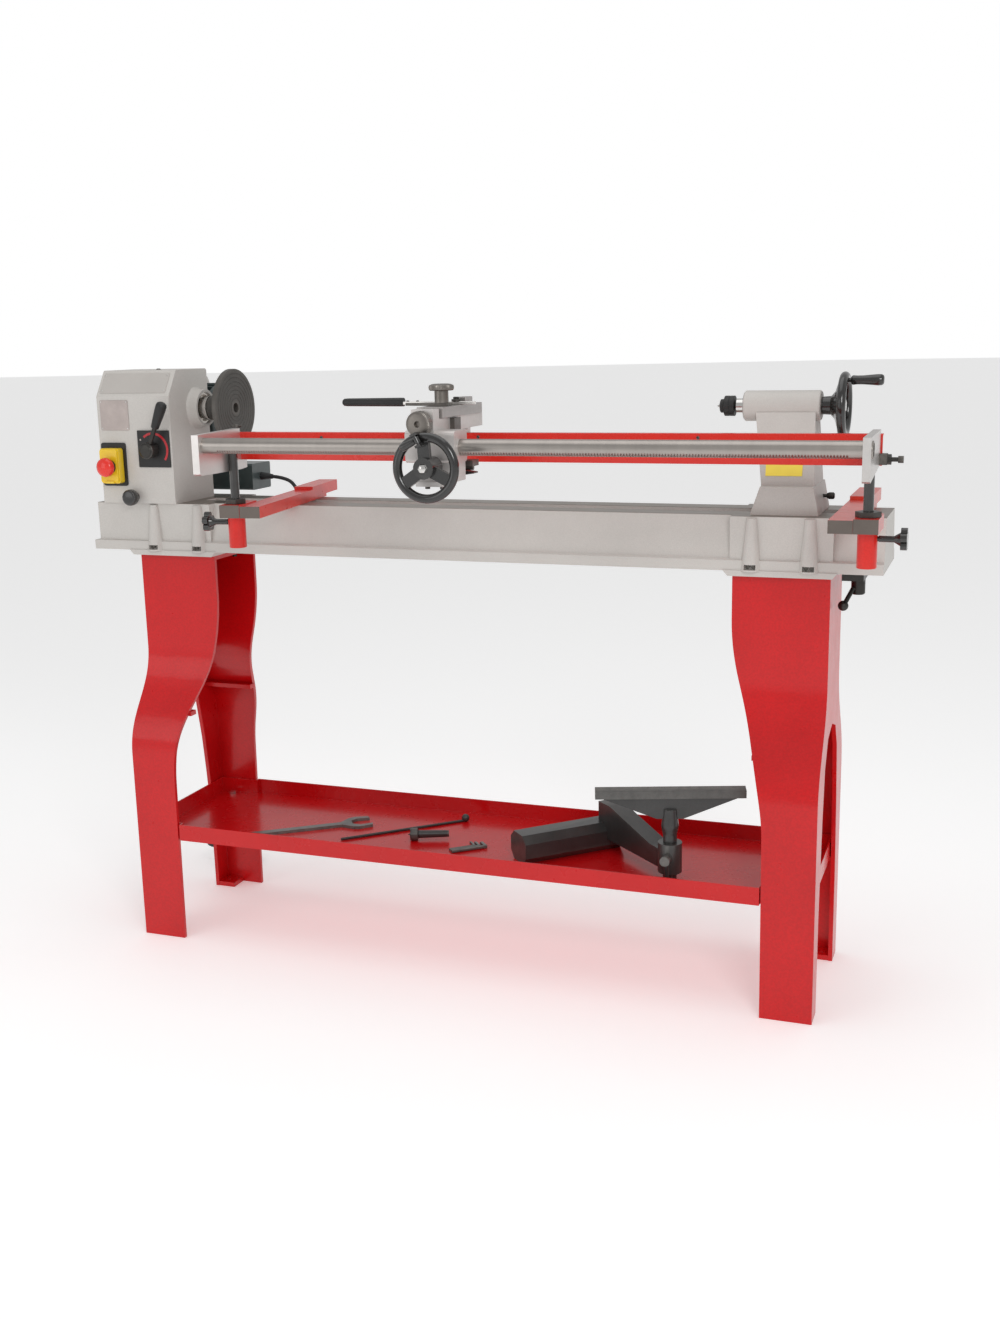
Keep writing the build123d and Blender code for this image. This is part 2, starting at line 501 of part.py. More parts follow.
def collar_nuts():
    """Round nuts with flats, on top of each arm round the post."""
    nuts = []
    for x in (POST_XL, POST_XR):
        nut = hexagon("Z", ARM_Z1, ARM_Z1 + 9, x, POST_Y, 35)
        nuts.append(nut - rod("Z", ARM_Z1 - 1, ARM_Z1 + 12, x, POST_Y, POST_R + RUN))
    return Compound(nuts)


def arm_clamps():
    """Bolt and plate of each arm: inside the bed on the left, below its end on the right."""
    left = rod("Z", WAY_BOTTOM - 22, ARM_Z1 - 6, POST_XL + ARM_BAR, 0, 6)
    left += box(POST_XL + ARM_BAR - 18, POST_XL + ARM_BAR + 18, -44, 44, WAY_BOTTOM - 12, WAY_BOTTOM)
    left += hexagon("Z", WAY_BOTTOM - 22, WAY_BOTTOM - 12, POST_XL + ARM_BAR, 0, 19)
    x = POST_XR - ARM_BAR
    right = rod("Z", 745, ARM_Z1 - 6, x, 0, 6)
    right += box(x - 18, x + 18, -90, 90, BED_BOTTOM - 12, BED_BOTTOM)
    return Compound([swing(left), right])


def under_bed_lever():
    """Nut with a ball lever under the right arm's clamp plate."""
    x = POST_XR - ARM_BAR
    lever = turned("Z", (x, 0, 0), [(738, 10), (740, 12), (768, 12), (BED_BOTTOM - 12 - GAP, 14)])
    lever -= rod("Z", 742, 780, x, 0, 6 + RUN)
    lever += strut((x - 7, -10, 750), (x - 19, -28, 725), 4)
    return lever + Pos(x - 21, -31, 722) * Sphere(9)


def end_plates():
    """End plates that join post, tube and rail; each post sits in a notch of its plate."""
    left = [(PLATE_FRONT, 964), (PLATE_FRONT, 1031), (PLATE_BACK, 1034), (PLATE_BACK, RAIL_Z0),
            (PLATE_BACK + 20, RAIL_Z0), (PLATE_BACK + 20, 963), (PLATE_BACK, 961), (PLATE_FRONT + 6, 961)]
    right = [(PLATE_FRONT, 967), (PLATE_FRONT, 1031), (PLATE_BACK, 1034), (PLATE_BACK, 980), (PLATE_FRONT + 6, 964)]
    plates = []
    for post_x, outline, (x0, x1) in ((POST_XL, left, LEFT_PLATE), (POST_XR, right, RIGHT_PLATE)):
        plate = plate_yz(outline, x0, x1)
        plate -= rod("X", x0 - 5, x1 + 5, TUBE_Y, TUBE_Z, TUBE_R)
        plate -= rod("Z", 950, 1000.5, post_x, POST_Y, POST_R)
        plates.append(plate)
    return Compound(plates)


def copier_posts():
    """Upright posts, sliding in the arm sockets."""
    return Compound([turned("Z", (x, POST_Y, 0), [(828, POST_R - 1), (829, POST_R), (1000, POST_R)])
                     for x in (POST_XL, POST_XR)])


def guide_tube():
    """Polished guide tube, through both end plates."""
    x0, x1 = LEFT_PLATE[0] - 3, RIGHT_PLATE[1] + 2
    return rod("X", x0, x1, TUBE_Y, TUBE_Z, TUBE_R) - rod("X", x0 - 1, x1 + 1, TUBE_Y, TUBE_Z, TUBE_R - 3)


def template_rail():
    """Channel that carries the template, open to the back."""
    y0, y1 = PLATE_BACK, PLATE_BACK + RAIL_DEPTH
    x0, x1 = LEFT_PLATE[0], RIGHT_PLATE[1] + 3
    return box(x0, x1, y0, y1, RAIL_Z0, RAIL_Z1) - box(x0 - 1, x1 + 1, y0 + 3, y1 + 1, RAIL_Z0 + 3, RAIL_Z1 - 3)


def socket_knob(post_x, out):
    """Lobed knob on a screw that grips the post in its socket."""
    profile = [(POST_R + GAP, 4), (17, 4), (17, 5), (40, 5), (50, 11), (60, 11)]
    outward = [(out * distance, radius) for distance, radius in profile]
    body = turned("X", (post_x, POST_Y, 870), outward)
    head0, head1 = sorted((post_x + out * 50, post_x + out * 60))
    for i in range(5):
        angle = math.radians(90 + 72 * i)
        body += rod("X", head0, head1, POST_Y + 11 * math.cos(angle), 870 + 11 * math.sin(angle), 7)
    return body


def template_screws():
    """Clamp screws with cross pins that hold the rail in the end plates."""
    left = rod("Z", 1030, 1040, POST_XL - 16, -204, 4) + rod("X", POST_XL - 24, POST_XL - 8, -204, 1038, 2.5)
    left += rod("Z", RAIL_Z1, 1031, POST_XL - 16, -204, 3)
    x, y, z = RIGHT_PLATE[1], -225, 989
    right = box(x, x + 12, y - 9, y + 9, z - 8, z + 9) + hexagon("X", x + 12, x + 18, y, z, 14)
    right += rod("X", x + 18, x + 28, y, z, 3.5) + turned("X", (0, y, z), [(x + 28, 5.5), (x + 36, 5.5)])
    return Compound([left, right])


def carriage_body():
    """Carriage: bearing block round the tube, pinion housing below it and the bridge to the rail above."""
    body = fillet(box(30, 116, -364, -308, 988, 1040).edges().filter_by(Axis.X), 8)
    body += box(50, 114, -360, -312, 958, 992)
    body += box(46, 92, -362, -310, 950, 958)
    x0, x1 = CAR_X - BRIDGE_HALF, CAR_X + BRIDGE_HALF
    body += box(x0, x1, -372, -150, 1036, 1058)
    body += plate_xz([(CAR_X - 13, 1057), (CAR_X + 13, 1057), (CAR_X + 17, 1066), (CAR_X - 17, 1066)], -372, -150)
    body += box(x0 + 3, x1 - 3, -212, -200, RAIL_Z1 + GAP, 1040)
    body += box(x0, x1, -372, -346, 1050, 1074)
    body -= rod("X", 20, 130, TUBE_Y, TUBE_Z, TUBE_R + RUN)
    body -= rod("Y", -380, -300, WHEEL_X, WHEEL_Z, 6 + RUN)
    body -= rod("Y", -350, -322, WHEEL_X, WHEEL_Z, 13.5)
    return body - rod("Y", -380, -190, CAR_X, 1052, 5 + RUN)


def carriage_handwheel():
    """Spoked handwheel with the pinion shaft that runs on the tube's rack."""
    wheel = spoked_wheel(WHEEL_R, RIM_R, 3, WHEEL_X, WHEEL_Y, WHEEL_Z, 17, WHEEL_Y - 12, -374, 20, 9)
    wheel += rod("Y", -376, -314, WHEEL_X, WHEEL_Z, 6) + rod("Y", -348, -324, WHEEL_X, WHEEL_Z, 12)
    for n in (-1, 1):
        wheel += fold_frame() * Pos(0, 4, n * 9.5) * Box(10, 22, 4)
    return wheel + fold_frame() * Cylinder(2, 20)


def fold_frame():
    """Frame at the folding handle's pin: X along the folded handle, Z along the pin."""
    return Pos(WHEEL_X - 8, WHEEL_Y - 15, WHEEL_Z + 45) * Rot(0, 180 - 26, 0)


def folding_handle():
    """Handle folded flat across the handwheel's face, on its cross pin."""
    grip = turned("X", (0, 0, 0), [(4, 4.5), (8, 5.5), (24, 6.5), (29, 6), (31, 4)]) + Cylinder(5, 10)
    return fold_frame() * (grip - Cylinder(2 + RUN, 30))


def feed_knob():
    """Knurled feed knob with its screw."""
    return turned("Y", (CAR_X, 0, 1052), [(-393, 14), (-392, 18), (-390, 20.5), (-376, 20.5), (-376, 12), (-372 - GAP, 12),
                                          (-372 - GAP, 5), (-210, 5)])


def tool_slide():
    """Cross slide on the bridge, undercut to fit over its dovetail."""
    half = BRIDGE_HALF + 4
    body = box(CAR_X - half, CAR_X + half, -340, -160, 1058 + GAP, SLIDE_TOP)
    body -= plate_xz([(CAR_X - 13 - GAP, 1056), (CAR_X + 13 + GAP, 1056), (CAR_X + 17 + GAP, 1066 + GAP),
                      (CAR_X - 17 - GAP, 1066 + GAP)], -341, -159)
    body += box(CAR_X + 5, CAR_X + half, -238, -205, SLIDE_TOP, SLIDE_TOP + 12)
    return body + rod("Z", SLIDE_TOP - 1, 1098, STUD_X, STUD_Y, 5)


def cutter():
    """Pointed cutter plate that swings on the clamp stud."""
    outline = [(2, STUD_Y), (48, STUD_Y - 11), (82, STUD_Y - 11), (82, STUD_Y + 11), (48, STUD_Y + 11)]
    body = plate_xy(outline, SLIDE_TOP + GAP, 1081)
    return body - rod("Z", 1070, 1100, STUD_X, STUD_Y, 5 + RUN)


def tool_knob():
    """Mushroom clamp knob on the stud."""
    body = turned("Z", (STUD_X, STUD_Y, 0), [(1081 + GAP, 11.5), (1101, 11.5), (1102, 19), (1106, 21), (1110, 20),
                                             (1112, 15)])
    return body - rod("Z", 1075, 1098.5, STUD_X, STUD_Y, 5 + RUN)


def feed_lever():
    """Flat lever with a grip, pivoted on top of the slide."""
    px, py, z = FEED_LEVER_X, FEED_LEVER_Y, SLIDE_TOP + GAP
    bar = box(px - 102, px + 34, py - 5, py + 5, z, z + 5)
    bar += strut((px - 209, py, z + 4.2), (px - 95, py, z + 4.2), 6.6, 7.2) & box(-400, 400, -400, 0, z, 1200)
    bar += turned("Z", (px, py, 0), [(z + 4, 8), (z + 8, 8), (z + 8, 5), (z + 12, 5)])
    return bar


def stylus():
    """Template follower: bracket on the bridge's side, block, cross rod and wedge."""
    x = CAR_X + BRIDGE_HALF
    body = box(x, x + 8, -300, -272, 980, 1057)
    body += box(x, x + 38, -300, -272, 978, 988)
    body += rod("X", x + 8, x + 34, -286, 975, 4)
    wedge = plate_xz([(x + 10, 972), (x + 38, 968), (x + 38, 966), (x + 10, 962)], -296, -276)
    return body + wedge


# ---------------------------------------------------------------- on the tray

BANJO_A, BANJO_B, REST_AT = (112.0, -84.0), (262.0, 62.0), (408.0, -96.0)


def tapered_bar(p, q, half, z0, z1, bevel):
    """Bar on the tray between two points, with bevelled long edges."""
    ax, ay = p
    bx, by = q
    length = math.hypot(bx - ax, by - ay)
    section = [(-half, z0 + bevel), (-half, z1 - bevel), (-half + bevel, z1), (half - bevel, z1), (half, z1 - bevel),
               (half, z0 + bevel), (half - bevel, z0), (-half + bevel, z0)]
    bar = plate_yz(section, 0, length)
    return Pos(ax, ay, 0) * Rot(0, 0, math.degrees(math.atan2(by - ay, bx - ax))) * bar


def banjo():
    """Tool rest carrier: bevelled foot bar, arm and post clamp."""
    floor = TRAY_FLOOR + 0.2
    body = tapered_bar(BANJO_A, BANJO_B, 33, floor, floor + 56, 14)
    rx, ry = REST_AT
    reach = math.hypot(rx - 248, ry - 48)
    arm_side = [(0, floor + 26), (reach, floor + 26), (reach, floor + 60), (reach - 40, floor + 62),
                (40, floor + 94), (0, floor + 94)]
    turn = math.degrees(math.atan2(ry - 48, rx - 248))
    body += Pos(248, 48, 0) * Rot(0, 0, turn) * plate_xz(arm_side, -18, 18)
    body += rod("Z", floor + 18, floor + 74, rx, ry, 22)
    body -= rod("Z", floor + 10, floor + 80, rx, ry, 12.5 + RUN)
    return body - rod("Y", ry - 40, ry, rx, floor + 50, 4 + RUN)


def tool_rest():
    """Tool rest: post, gusset and blade."""
    floor = TRAY_FLOOR + 0.2
    rx, ry = REST_AT
    rest = rod("Z", floor, 350, 0, 0, 12.5)
    rest += plate_xz([(-24, 332), (24, 332), (132, 374), (132, 382), (-132, 382), (-132, 374)], -4, 5)
    rest += plate_yz([(-12, 372), (-12, 386), (6, 390), (10, 386), (6, 372)], -135, 135)
    rest += turned("Z", (0, 0, 0), [(300, 12.5), (318, 16), (344, 12.5)])
    return Pos(rx, ry, 0) * Rot(0, 0, 18) * rest


def banjo_lever():
    """Lever of the tool rest's clamp screw, hanging down."""
    floor = TRAY_FLOOR + 0.2
    rx, ry = REST_AT
    lever = rod("Y", ry - 42, ry - 12.5 - GAP, rx, floor + 50, 4) + rod("Y", ry - 42, ry - 22 - GAP, rx, floor + 50, 9)
    return lever + strut((rx, ry - 36, floor + 50), (rx + 4, ry - 36, floor + 8), 4, 3.2)


def on_tray(shape, p, q):
    """Lay a piece drawn along +X from the origin on the tray, from p towards q."""
    angle = math.degrees(math.atan2(q[1] - p[1], q[0] - p[0]))
    return Pos(p[0], p[1], TRAY_FLOOR + 0.2) * Rot(0, 0, angle) * shape


def fork_wrench():
    """Two-pronged faceplate wrench."""
    one_side = [(0, -8), (186, -8), (206, -27), (218, -31), (246, -27), (248, -17), (222, -19), (208, -9)]
    outline = one_side + [(x, -y) for x, y in reversed(one_side)]
    return on_tray(plate_xy(outline, 0, 6), (-453, -106), (-258, 36))


def knockout_bar():
    """Knock-out bar with a ball end."""
    bar = turned("X", (0, 0, 2.7), [(0, 2), (1, 2.7), (262, 2.7)])
    ball = Pos(266, 0, 8) * Sphere(8)
    return on_tray(bar + ball, (-265, -76), (-58, 112))


def drive_centre():
    """Four-prong drive centre with its taper."""
    body = turned("X", (0, 0, 12.5), [(0, 0.1), (5, 2), (5, 11), (8, 12.5), (20, 12.5), (22, 8), (82, 6.6)])
    for i in range(4):
        body -= Pos(-1, 0, 12.5) * Rot(45 + 90 * i, 0, 0) * Pos(2, 8, 0) * Box(9, 9, 9)
    return on_tray(body, (-137, -37), (-57, -7))


def hex_keys():
    """Three hexagon keys, side by side."""
    keys = []
    for i, (size, length) in enumerate(((6, 72), (5, 62), (4, 54))):
        y = -9 + 8 * i
        key = hexagon("X", 0, length, y, size / 2 + 0.3, size) + box(length - size, length, y - size / 2, y + 22, 0.2, size)
        keys.append(on_tray(key & box(-10, 100, -40, 40, 0, 20), (-32, -72), (42, -8)))
    return Compound(keys)


# ---------------------------------------------------------------- mains lead

CORD_R = 3.75
CORD = [(-525, 150, 912), (-467, 150, 912), (-440, 150, 884), (-439, 150, 842), (-467, 148, 811), (-512, 144, 806),
        (-556, 140, 804), (-594, 144, 786), (-624, 162, 738), (-646, 186, 660), (-658, 200, 562), (-662, 205, 462),
        (-660, 204, 362), (-663, 207, 264), (-666, 210, 172), (-665, 209, 110), (-664, 212, 56), (-661, 236, 13),
        (-654, 277, 4.2)]
COIL_C, COIL_R = (-704, 262), 41.0


def cord_tube():
    """Mains lead from the box under the motor down behind the leg, to the coil on the floor."""
    points = [Vector(*p) for p in CORD]
    radii = []
    for a, b, c in zip(points, points[1:], points[2:]):
        turn = (b - a).get_angle(c - b)
        radii.append(0.45 * min((b - a).length, (c - b).length) / math.tan(math.radians(turn) / 2))
    path = FilletPolyline(*points, radius=[min(r, 900) for r in radii])
    tube = sweep(Plane(origin=points[0], z_dir=points[1] - points[0]) * Circle(CORD_R), path)
    return tube


def cord_coil():
    """Outer shape of the lead's neat coil on the floor."""
    x, y = COIL_C
    return turned("Z", (x, y, 0), [(0.2, COIL_R + 8), (15, COIL_R + 8)]) - turned("Z", (x, y, 0), [(-1, 26), (20, 26)])


def mains_plug():
    """Two-pin plug lying on the coil."""
    body = turned("X", (0, 0, 17), [(0, 6), (14, 8), (22, 16), (44, 17), (46, 14)])
    body += rod("X", 44, 64, -9.5, 17, 2.4) + rod("X", 44, 64, 9.5, 17, 2.4)
    return Pos(COIL_C[0] - 34, COIL_C[1], 15.2) * body


NODES = {
    "left_leg": lambda: leg(-1),
    "right_leg": lambda: leg(1),
    "tool_tray": tool_tray,
    "stand_bolts": stand_bolts,
    "bed": bed,
    "headstock_housing": headstock_housing,
    "belt_cover": belt_cover,
    "label_plates": label_plates,
    "control_plates": control_plates,
    "switch_box": switch_box,
    "stop_button": stop_button,
    "speed_lever": speed_lever,
    "speed_lever_grip": speed_lever_grip,
    "index_knob": index_knob,
    "spindle": spindle,
    "spindle_bearings": spindle_bearings,
    "spindle_pulley": lambda: pulley(0, SPINDLE_Z, SPINDLE_PULLEY_R, 15, 0),
    "motor_pulley": lambda: pulley(MOTOR_Y, MOTOR_Z, MOTOR_PULLEY_R, 0, -672),
    "faceplate": faceplate,
    "drive_belt": drive_belt,
    "motor_body": motor_body,
    "capacitor_box": capacitor_box,
    "tailstock_body": tailstock_body,
    "tailstock_clamp": tailstock_clamp,
    "quill": quill,
    "live_centre": live_centre,
    "tail_handwheel": tail_handwheel,
    "tail_crank_handle": tail_crank_handle,
    "tail_lock_screw": tail_lock_screw,
    "left_arm": lambda: swing(arm(POST_XL, 1)),
    "right_arm": lambda: arm(POST_XR, -1),
    "collar_nuts": collar_nuts,
    "arm_clamps": arm_clamps,
    "under_bed_lever": under_bed_lever,
    "end_plates": end_plates,
    "copier_posts": copier_posts,
    "guide_tube": guide_tube,
    "template_rail": template_rail,
    "left_socket_knob": lambda: swing(socket_knob(POST_XL, -1)),
    "right_socket_knob": lambda: socket_knob(POST_XR, 1),
    "template_screws": template_screws,
    "carriage_body": carriage_body,
    "carriage_handwheel": carriage_handwheel,
    "folding_handle": folding_handle,
    "feed_knob": feed_knob,
    "tool_slide": tool_slide,
    "cutter": cutter,
    "tool_knob": tool_knob,
    "feed_lever": feed_lever,
    "stylus": stylus,
    "banjo": banjo,
    "tool_rest": tool_rest,
    "banjo_lever": banjo_lever,
    "fork_wrench": fork_wrench,
    "knockout_bar": knockout_bar,
    "drive_centre": drive_centre,
    "hex_keys": hex_keys,
    "mains_cord": cord_tube,
    "cord_coil": cord_coil,
    "mains_plug": mains_plug,
}

os.makedirs("parts", exist_ok=True)
for name, make in NODES.items():
    shape = make()
    export_step(shape, f"parts/{name}.step")
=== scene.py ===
import json
import math

import bmesh
import bpy
from mathutils import Matrix, Vector


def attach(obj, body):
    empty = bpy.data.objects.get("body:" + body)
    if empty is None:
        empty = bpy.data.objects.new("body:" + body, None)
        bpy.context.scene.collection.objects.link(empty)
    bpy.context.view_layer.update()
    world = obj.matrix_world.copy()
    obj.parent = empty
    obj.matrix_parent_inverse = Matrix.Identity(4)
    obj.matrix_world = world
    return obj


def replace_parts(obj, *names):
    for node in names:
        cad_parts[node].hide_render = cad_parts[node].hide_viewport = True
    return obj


# Looks of the wood lathe. Lengths in the tables below are millimetres in the row frame.

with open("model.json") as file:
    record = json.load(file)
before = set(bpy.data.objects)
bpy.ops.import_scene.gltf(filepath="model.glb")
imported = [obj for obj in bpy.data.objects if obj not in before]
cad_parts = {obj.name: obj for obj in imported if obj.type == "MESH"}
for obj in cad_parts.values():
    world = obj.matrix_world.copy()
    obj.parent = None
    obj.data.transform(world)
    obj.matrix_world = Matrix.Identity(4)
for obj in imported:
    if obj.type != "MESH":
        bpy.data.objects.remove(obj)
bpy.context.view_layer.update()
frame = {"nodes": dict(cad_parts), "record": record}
nodes = frame["nodes"]
MM = 0.001

# places shared with the CAD model, in millimetres
BED_TOP = 880.0
SPINDLE_Z = 1060.0
HEAD_FRONT = -98.0
TUBE_Y, TUBE_Z, TUBE_R = -336.0, 1012.0, 13.5
WHEEL_X, WHEEL_Z = 82.0, 984.0
LEVER_X, BUTTON_X = -621.0, -707.0
CAR_X, SLIDE_TOP = 65.0, 1076.0
STUD_X, STUD_Y = 67.0, -292.0
FEED_LEVER_X, FEED_LEVER_Y = 76.0, -250.0


# ---------------------------------------------------------------- materials

def ramp(tree, stops):
    """Colour ramp node from (position, grey level) stops."""
    node = tree.nodes.new("ShaderNodeValToRGB")
    while len(node.color_ramp.elements) < len(stops):
        node.color_ramp.elements.new(0.5)
    for element, (place, level) in zip(node.color_ramp.elements, stops):
        element.position = place
        element.color = (level, level, level, 1)
    return node


def noise(tree, coords, scale, detail=4.0, rough=0.55, stretch=None):
    """Noise texture in the row frame, optionally stretched along the axes."""
    node = tree.nodes.new("ShaderNodeTexNoise")
    node.inputs["Scale"].default_value = scale
    node.inputs["Detail"].default_value = detail
    node.inputs["Roughness"].default_value = rough
    source = coords
    if stretch is not None:
        mapping = tree.nodes.new("ShaderNodeMapping")
        mapping.inputs["Scale"].default_value = stretch
        tree.links.new(coords, mapping.inputs["Vector"])
        source = mapping.outputs["Vector"]
    tree.links.new(source, node.inputs["Vector"])
    return node.outputs["Fac"]


def mix_colour(tree, factor, a, b, mode="MIX"):
    """Colour mix; a and b are colours or sockets."""
    node = tree.nodes.new("ShaderNodeMix")
    node.data_type = "RGBA"
    node.blend_type = mode
    for socket, value in ((node.inputs[0], factor), (node.inputs[6], a), (node.inputs[7], b)):
        if isinstance(value, (int, float)):
            socket.default_value = value
        elif isinstance(value, tuple):
            socket.default_value = (*value, 1)
        else:
            tree.links.new(value, socket)
    return node.outputs[2]


def maths(tree, kind, a, b):
    """Math node; a and b are numbers or sockets."""
    node = tree.nodes.new("ShaderNodeMath")
    node.operation = kind
    for socket, value in zip(node.inputs, (a, b)):
        if isinstance(value, (int, float)):
            socket.default_value = value
        else:
            tree.links.new(value, socket)
    return node.outputs[0]


def finish_material(name, colour, rough, metal=0.0, vary=0.08, vary_scale=9.0, speckle=0.0, speckle_scale=900.0,
                    bumps=(), rough_vary=0.08, stretch=None, coat=0.0, wear=0.0, wear_colour=(0.5, 0.5, 0.5),
                    masked=None, specular=0.5):
    """Painted, cast, ground or moulded surface with mottling, speckle, bump, worn edges and a masked second colour.

    bumps is (scale, strength, distance in mm) per layer. masked is (mask builder, colour, roughness, metal)."""
    material = bpy.data.materials.new(name)
    material.use_nodes = True
    tree = material.node_tree
    shader = tree.nodes["Principled BSDF"]
    coords = tree.nodes.new("ShaderNodeTexCoord").outputs["Object"]
    broad = noise(tree, coords, vary_scale, 5.0, 0.6, stretch)
    spread = ramp(tree, [(0.28, 1 - vary), (0.72, 1 + vary)])
    tree.links.new(broad, spread.inputs[0])
    paint = mix_colour(tree, 1.0, colour, spread.outputs[0], "MULTIPLY")
    if speckle:
        fine = noise(tree, coords, speckle_scale, 2.0, 0.5)
        dots = ramp(tree, [(0.35, 1 - speckle), (0.65, 1 + speckle)])
        tree.links.new(fine, dots.inputs[0])
        paint = mix_colour(tree, 1.0, paint, dots.outputs[0], "MULTIPLY")
    if wear:
        point = tree.nodes.new("ShaderNodeNewGeometry").outputs["Pointiness"]
        edge = ramp(tree, [(0.53, 0.0), (0.62, 1.0)])
        tree.links.new(point, edge.inputs[0])
        patch = noise(tree, coords, 60.0, 4.0, 0.7)
        worn = maths(tree, "MULTIPLY", edge.outputs[0], maths(tree, "MULTIPLY", patch, wear))
        paint = mix_colour(tree, worn, paint, wear_colour)
    rough_map = tree.nodes.new("ShaderNodeMapRange")
    rough_map.inputs["To Min"].default_value = max(0.02, rough - rough_vary)
    rough_map.inputs["To Max"].default_value = min(1.0, rough + rough_vary)
    tree.links.new(noise(tree, coords, vary_scale * 3.7, 4.0, 0.6, stretch), rough_map.inputs["Value"])
    rough_out = rough_map.outputs["Result"]
    if masked is not None:
        build, second, second_rough, second_metal = masked
        mask = build(tree, coords)
        paint = mix_colour(tree, mask, paint, mix_colour(tree, 1.0, second, spread.outputs[0], "MULTIPLY"))
        level = tree.nodes.new("ShaderNodeMapRange")
        level.inputs["To Min"].default_value = 0.0
        level.inputs["To Max"].default_value = 1.0
        tree.links.new(mask, level.inputs["Value"])
        shift = maths(tree, "MULTIPLY", level.outputs["Result"], second_rough - rough)
        rough_out = maths(tree, "ADD", rough_out, shift)
        metal_out = maths(tree, "ADD", metal, maths(tree, "MULTIPLY", mask, second_metal - metal))
        tree.links.new(metal_out, shader.inputs["Metallic"])
    else:
        shader.inputs["Metallic"].default_value = metal
    tree.links.new(paint, shader.inputs["Base Color"])
    tree.links.new(rough_out, shader.inputs["Roughness"])
    shader.inputs["Coat Weight"].default_value = coat
    shader.inputs["Coat Roughness"].default_value = 0.12
    shader.inputs["Specular IOR Level"].default_value = specular
    normal = None
    for scale, strength, distance in bumps:
        bump = tree.nodes.new("ShaderNodeBump")
        bump.inputs["Strength"].default_value = strength
        bump.inputs["Distance"].default_value = distance * MM
        tree.links.new(noise(tree, coords, scale, 3.0, 0.5, stretch), bump.inputs["Height"])
        if normal is not None:
            tree.links.new(normal, bump.inputs["Normal"])
        normal = bump.outputs["Normal"]
    if normal is not None:
        tree.links.new(normal, shader.inputs["Normal"])
    return material


def split_axes(tree, socket):
    """X, Y and Z outputs of a vector socket."""
    node = tree.nodes.new("ShaderNodeSeparateXYZ")
    tree.links.new(socket, node.inputs[0])
    return node.outputs


def machined_ways(tree, coords):
    """Mask of the machined top of the bed."""
    height = split_axes(tree, coords)[2]
    return maths(tree, "GREATER_THAN", height, (BED_TOP - 0.6) * MM)


def bare_arm_end(tree, coords):
    """Mask of the unpainted front end of an arm."""
    normal = split_axes(tree, tree.nodes.new("ShaderNodeTexCoord").outputs["Normal"])
    facing = maths(tree, "LESS_THAN", normal[1], -0.9)
    high = maths(tree, "GREATER_THAN", split_axes(tree, coords)[2], 0.8802)
    front = maths(tree, "LESS_THAN", split_axes(tree, coords)[1], -0.262)
    return maths(tree, "MULTIPLY", facing, maths(tree, "MULTIPLY", high, front))


def low_part(tree, coords):
    """Mask of everything lower than 0.4 m, used to plate the tray's bolts."""
    return maths(tree, "LESS_THAN", split_axes(tree, coords)[2], 0.4)


GREY = (0.545, 0.520, 0.490)
RED = (0.560, 0.004, 0.006)
ORANGE_RED = (0.640, 0.016, 0.010)
BLACK = (0.014, 0.0135, 0.013)
DARK_STEEL = (0.045, 0.043, 0.040)

grey_paint = finish_material("grey_paint", GREY, 0.46, vary=0.05, vary_scale=7, speckle=0.05, speckle_scale=700,
                             bumps=((60, 0.25, 0.5), (420, 0.22, 0.25)), wear=0.5, wear_colour=(0.62, 0.60, 0.57))
bed_paint = finish_material("bed_paint", GREY, 0.46, vary=0.05, vary_scale=7, speckle=0.05, speckle_scale=700,
                            bumps=((60, 0.25, 0.5), (420, 0.22, 0.25)), wear=0.4, wear_colour=(0.62, 0.60, 0.57),
                            masked=(machined_ways, (0.27, 0.235, 0.205), 0.34, 0.75))
red_paint = finish_material("red_paint", RED, 0.30, vary=0.10, vary_scale=5, speckle=0.07, speckle_scale=260,
                            bumps=((38, 0.35, 1.0), (230, 0.38, 0.45)), coat=0.30, wear=0.3,
                            wear_colour=(0.66, 0.03, 0.025), specular=0.3)
tray_paint = finish_material("tray_paint", RED, 0.27, vary=0.12, vary_scale=3.5,
                             bumps=((14, 0.25, 1.4), (300, 0.10, 0.2)), coat=0.3, wear=0.3,
                             wear_colour=(0.62, 0.03, 0.025), specular=0.3)
rail_paint = finish_material("rail_paint", (0.640, 0.022, 0.014), 0.27, vary=0.05, vary_scale=9,
                             bumps=((120, 0.15, 0.3),), coat=0.35, wear=0.3, wear_colour=(0.70, 0.06, 0.04),
                             specular=0.35)
arm_paint = finish_material("arm_paint", ORANGE_RED, 0.30, vary=0.10, vary_scale=16, speckle=0.05,
                            speckle_scale=400, bumps=((55, 0.3, 0.6), (320, 0.3, 0.3)), coat=0.3, wear=0.35,
                            wear_colour=(0.70, 0.16, 0.08), masked=(bare_arm_end, (0.150, 0.125, 0.110), 0.40, 0.6),
                            specular=0.35)
black_enamel = finish_material("black_enamel", BLACK, 0.20, vary=0.10, vary_scale=30,
                               bumps=((90, 0.16, 0.3), (600, 0.08, 0.1)), coat=0.6, wear=0.5,
                               wear_colour=(0.10, 0.095, 0.09))
black_grip = finish_material("black_grip", (0.018, 0.018, 0.018), 0.42, vary=0.15, vary_scale=40,
                             bumps=((700, 0.35, 0.25),), specular=0.4)
dark_steel = finish_material("dark_steel", DARK_STEEL, 0.36, metal=0.75, vary=0.22, vary_scale=45, speckle=0.12,
                             bumps=((300, 0.22, 0.15),), wear=0.9, wear_colour=(0.24, 0.22, 0.20))
dark_iron = finish_material("dark_iron", (0.062, 0.058, 0.052), 0.44, metal=0.35, vary=0.15, vary_scale=26,
                            speckle=0.15, bumps=((75, 0.2, 0.3), (600, 0.32, 0.18)), wear=0.9,
                            wear_colour=(0.22, 0.20, 0.18))
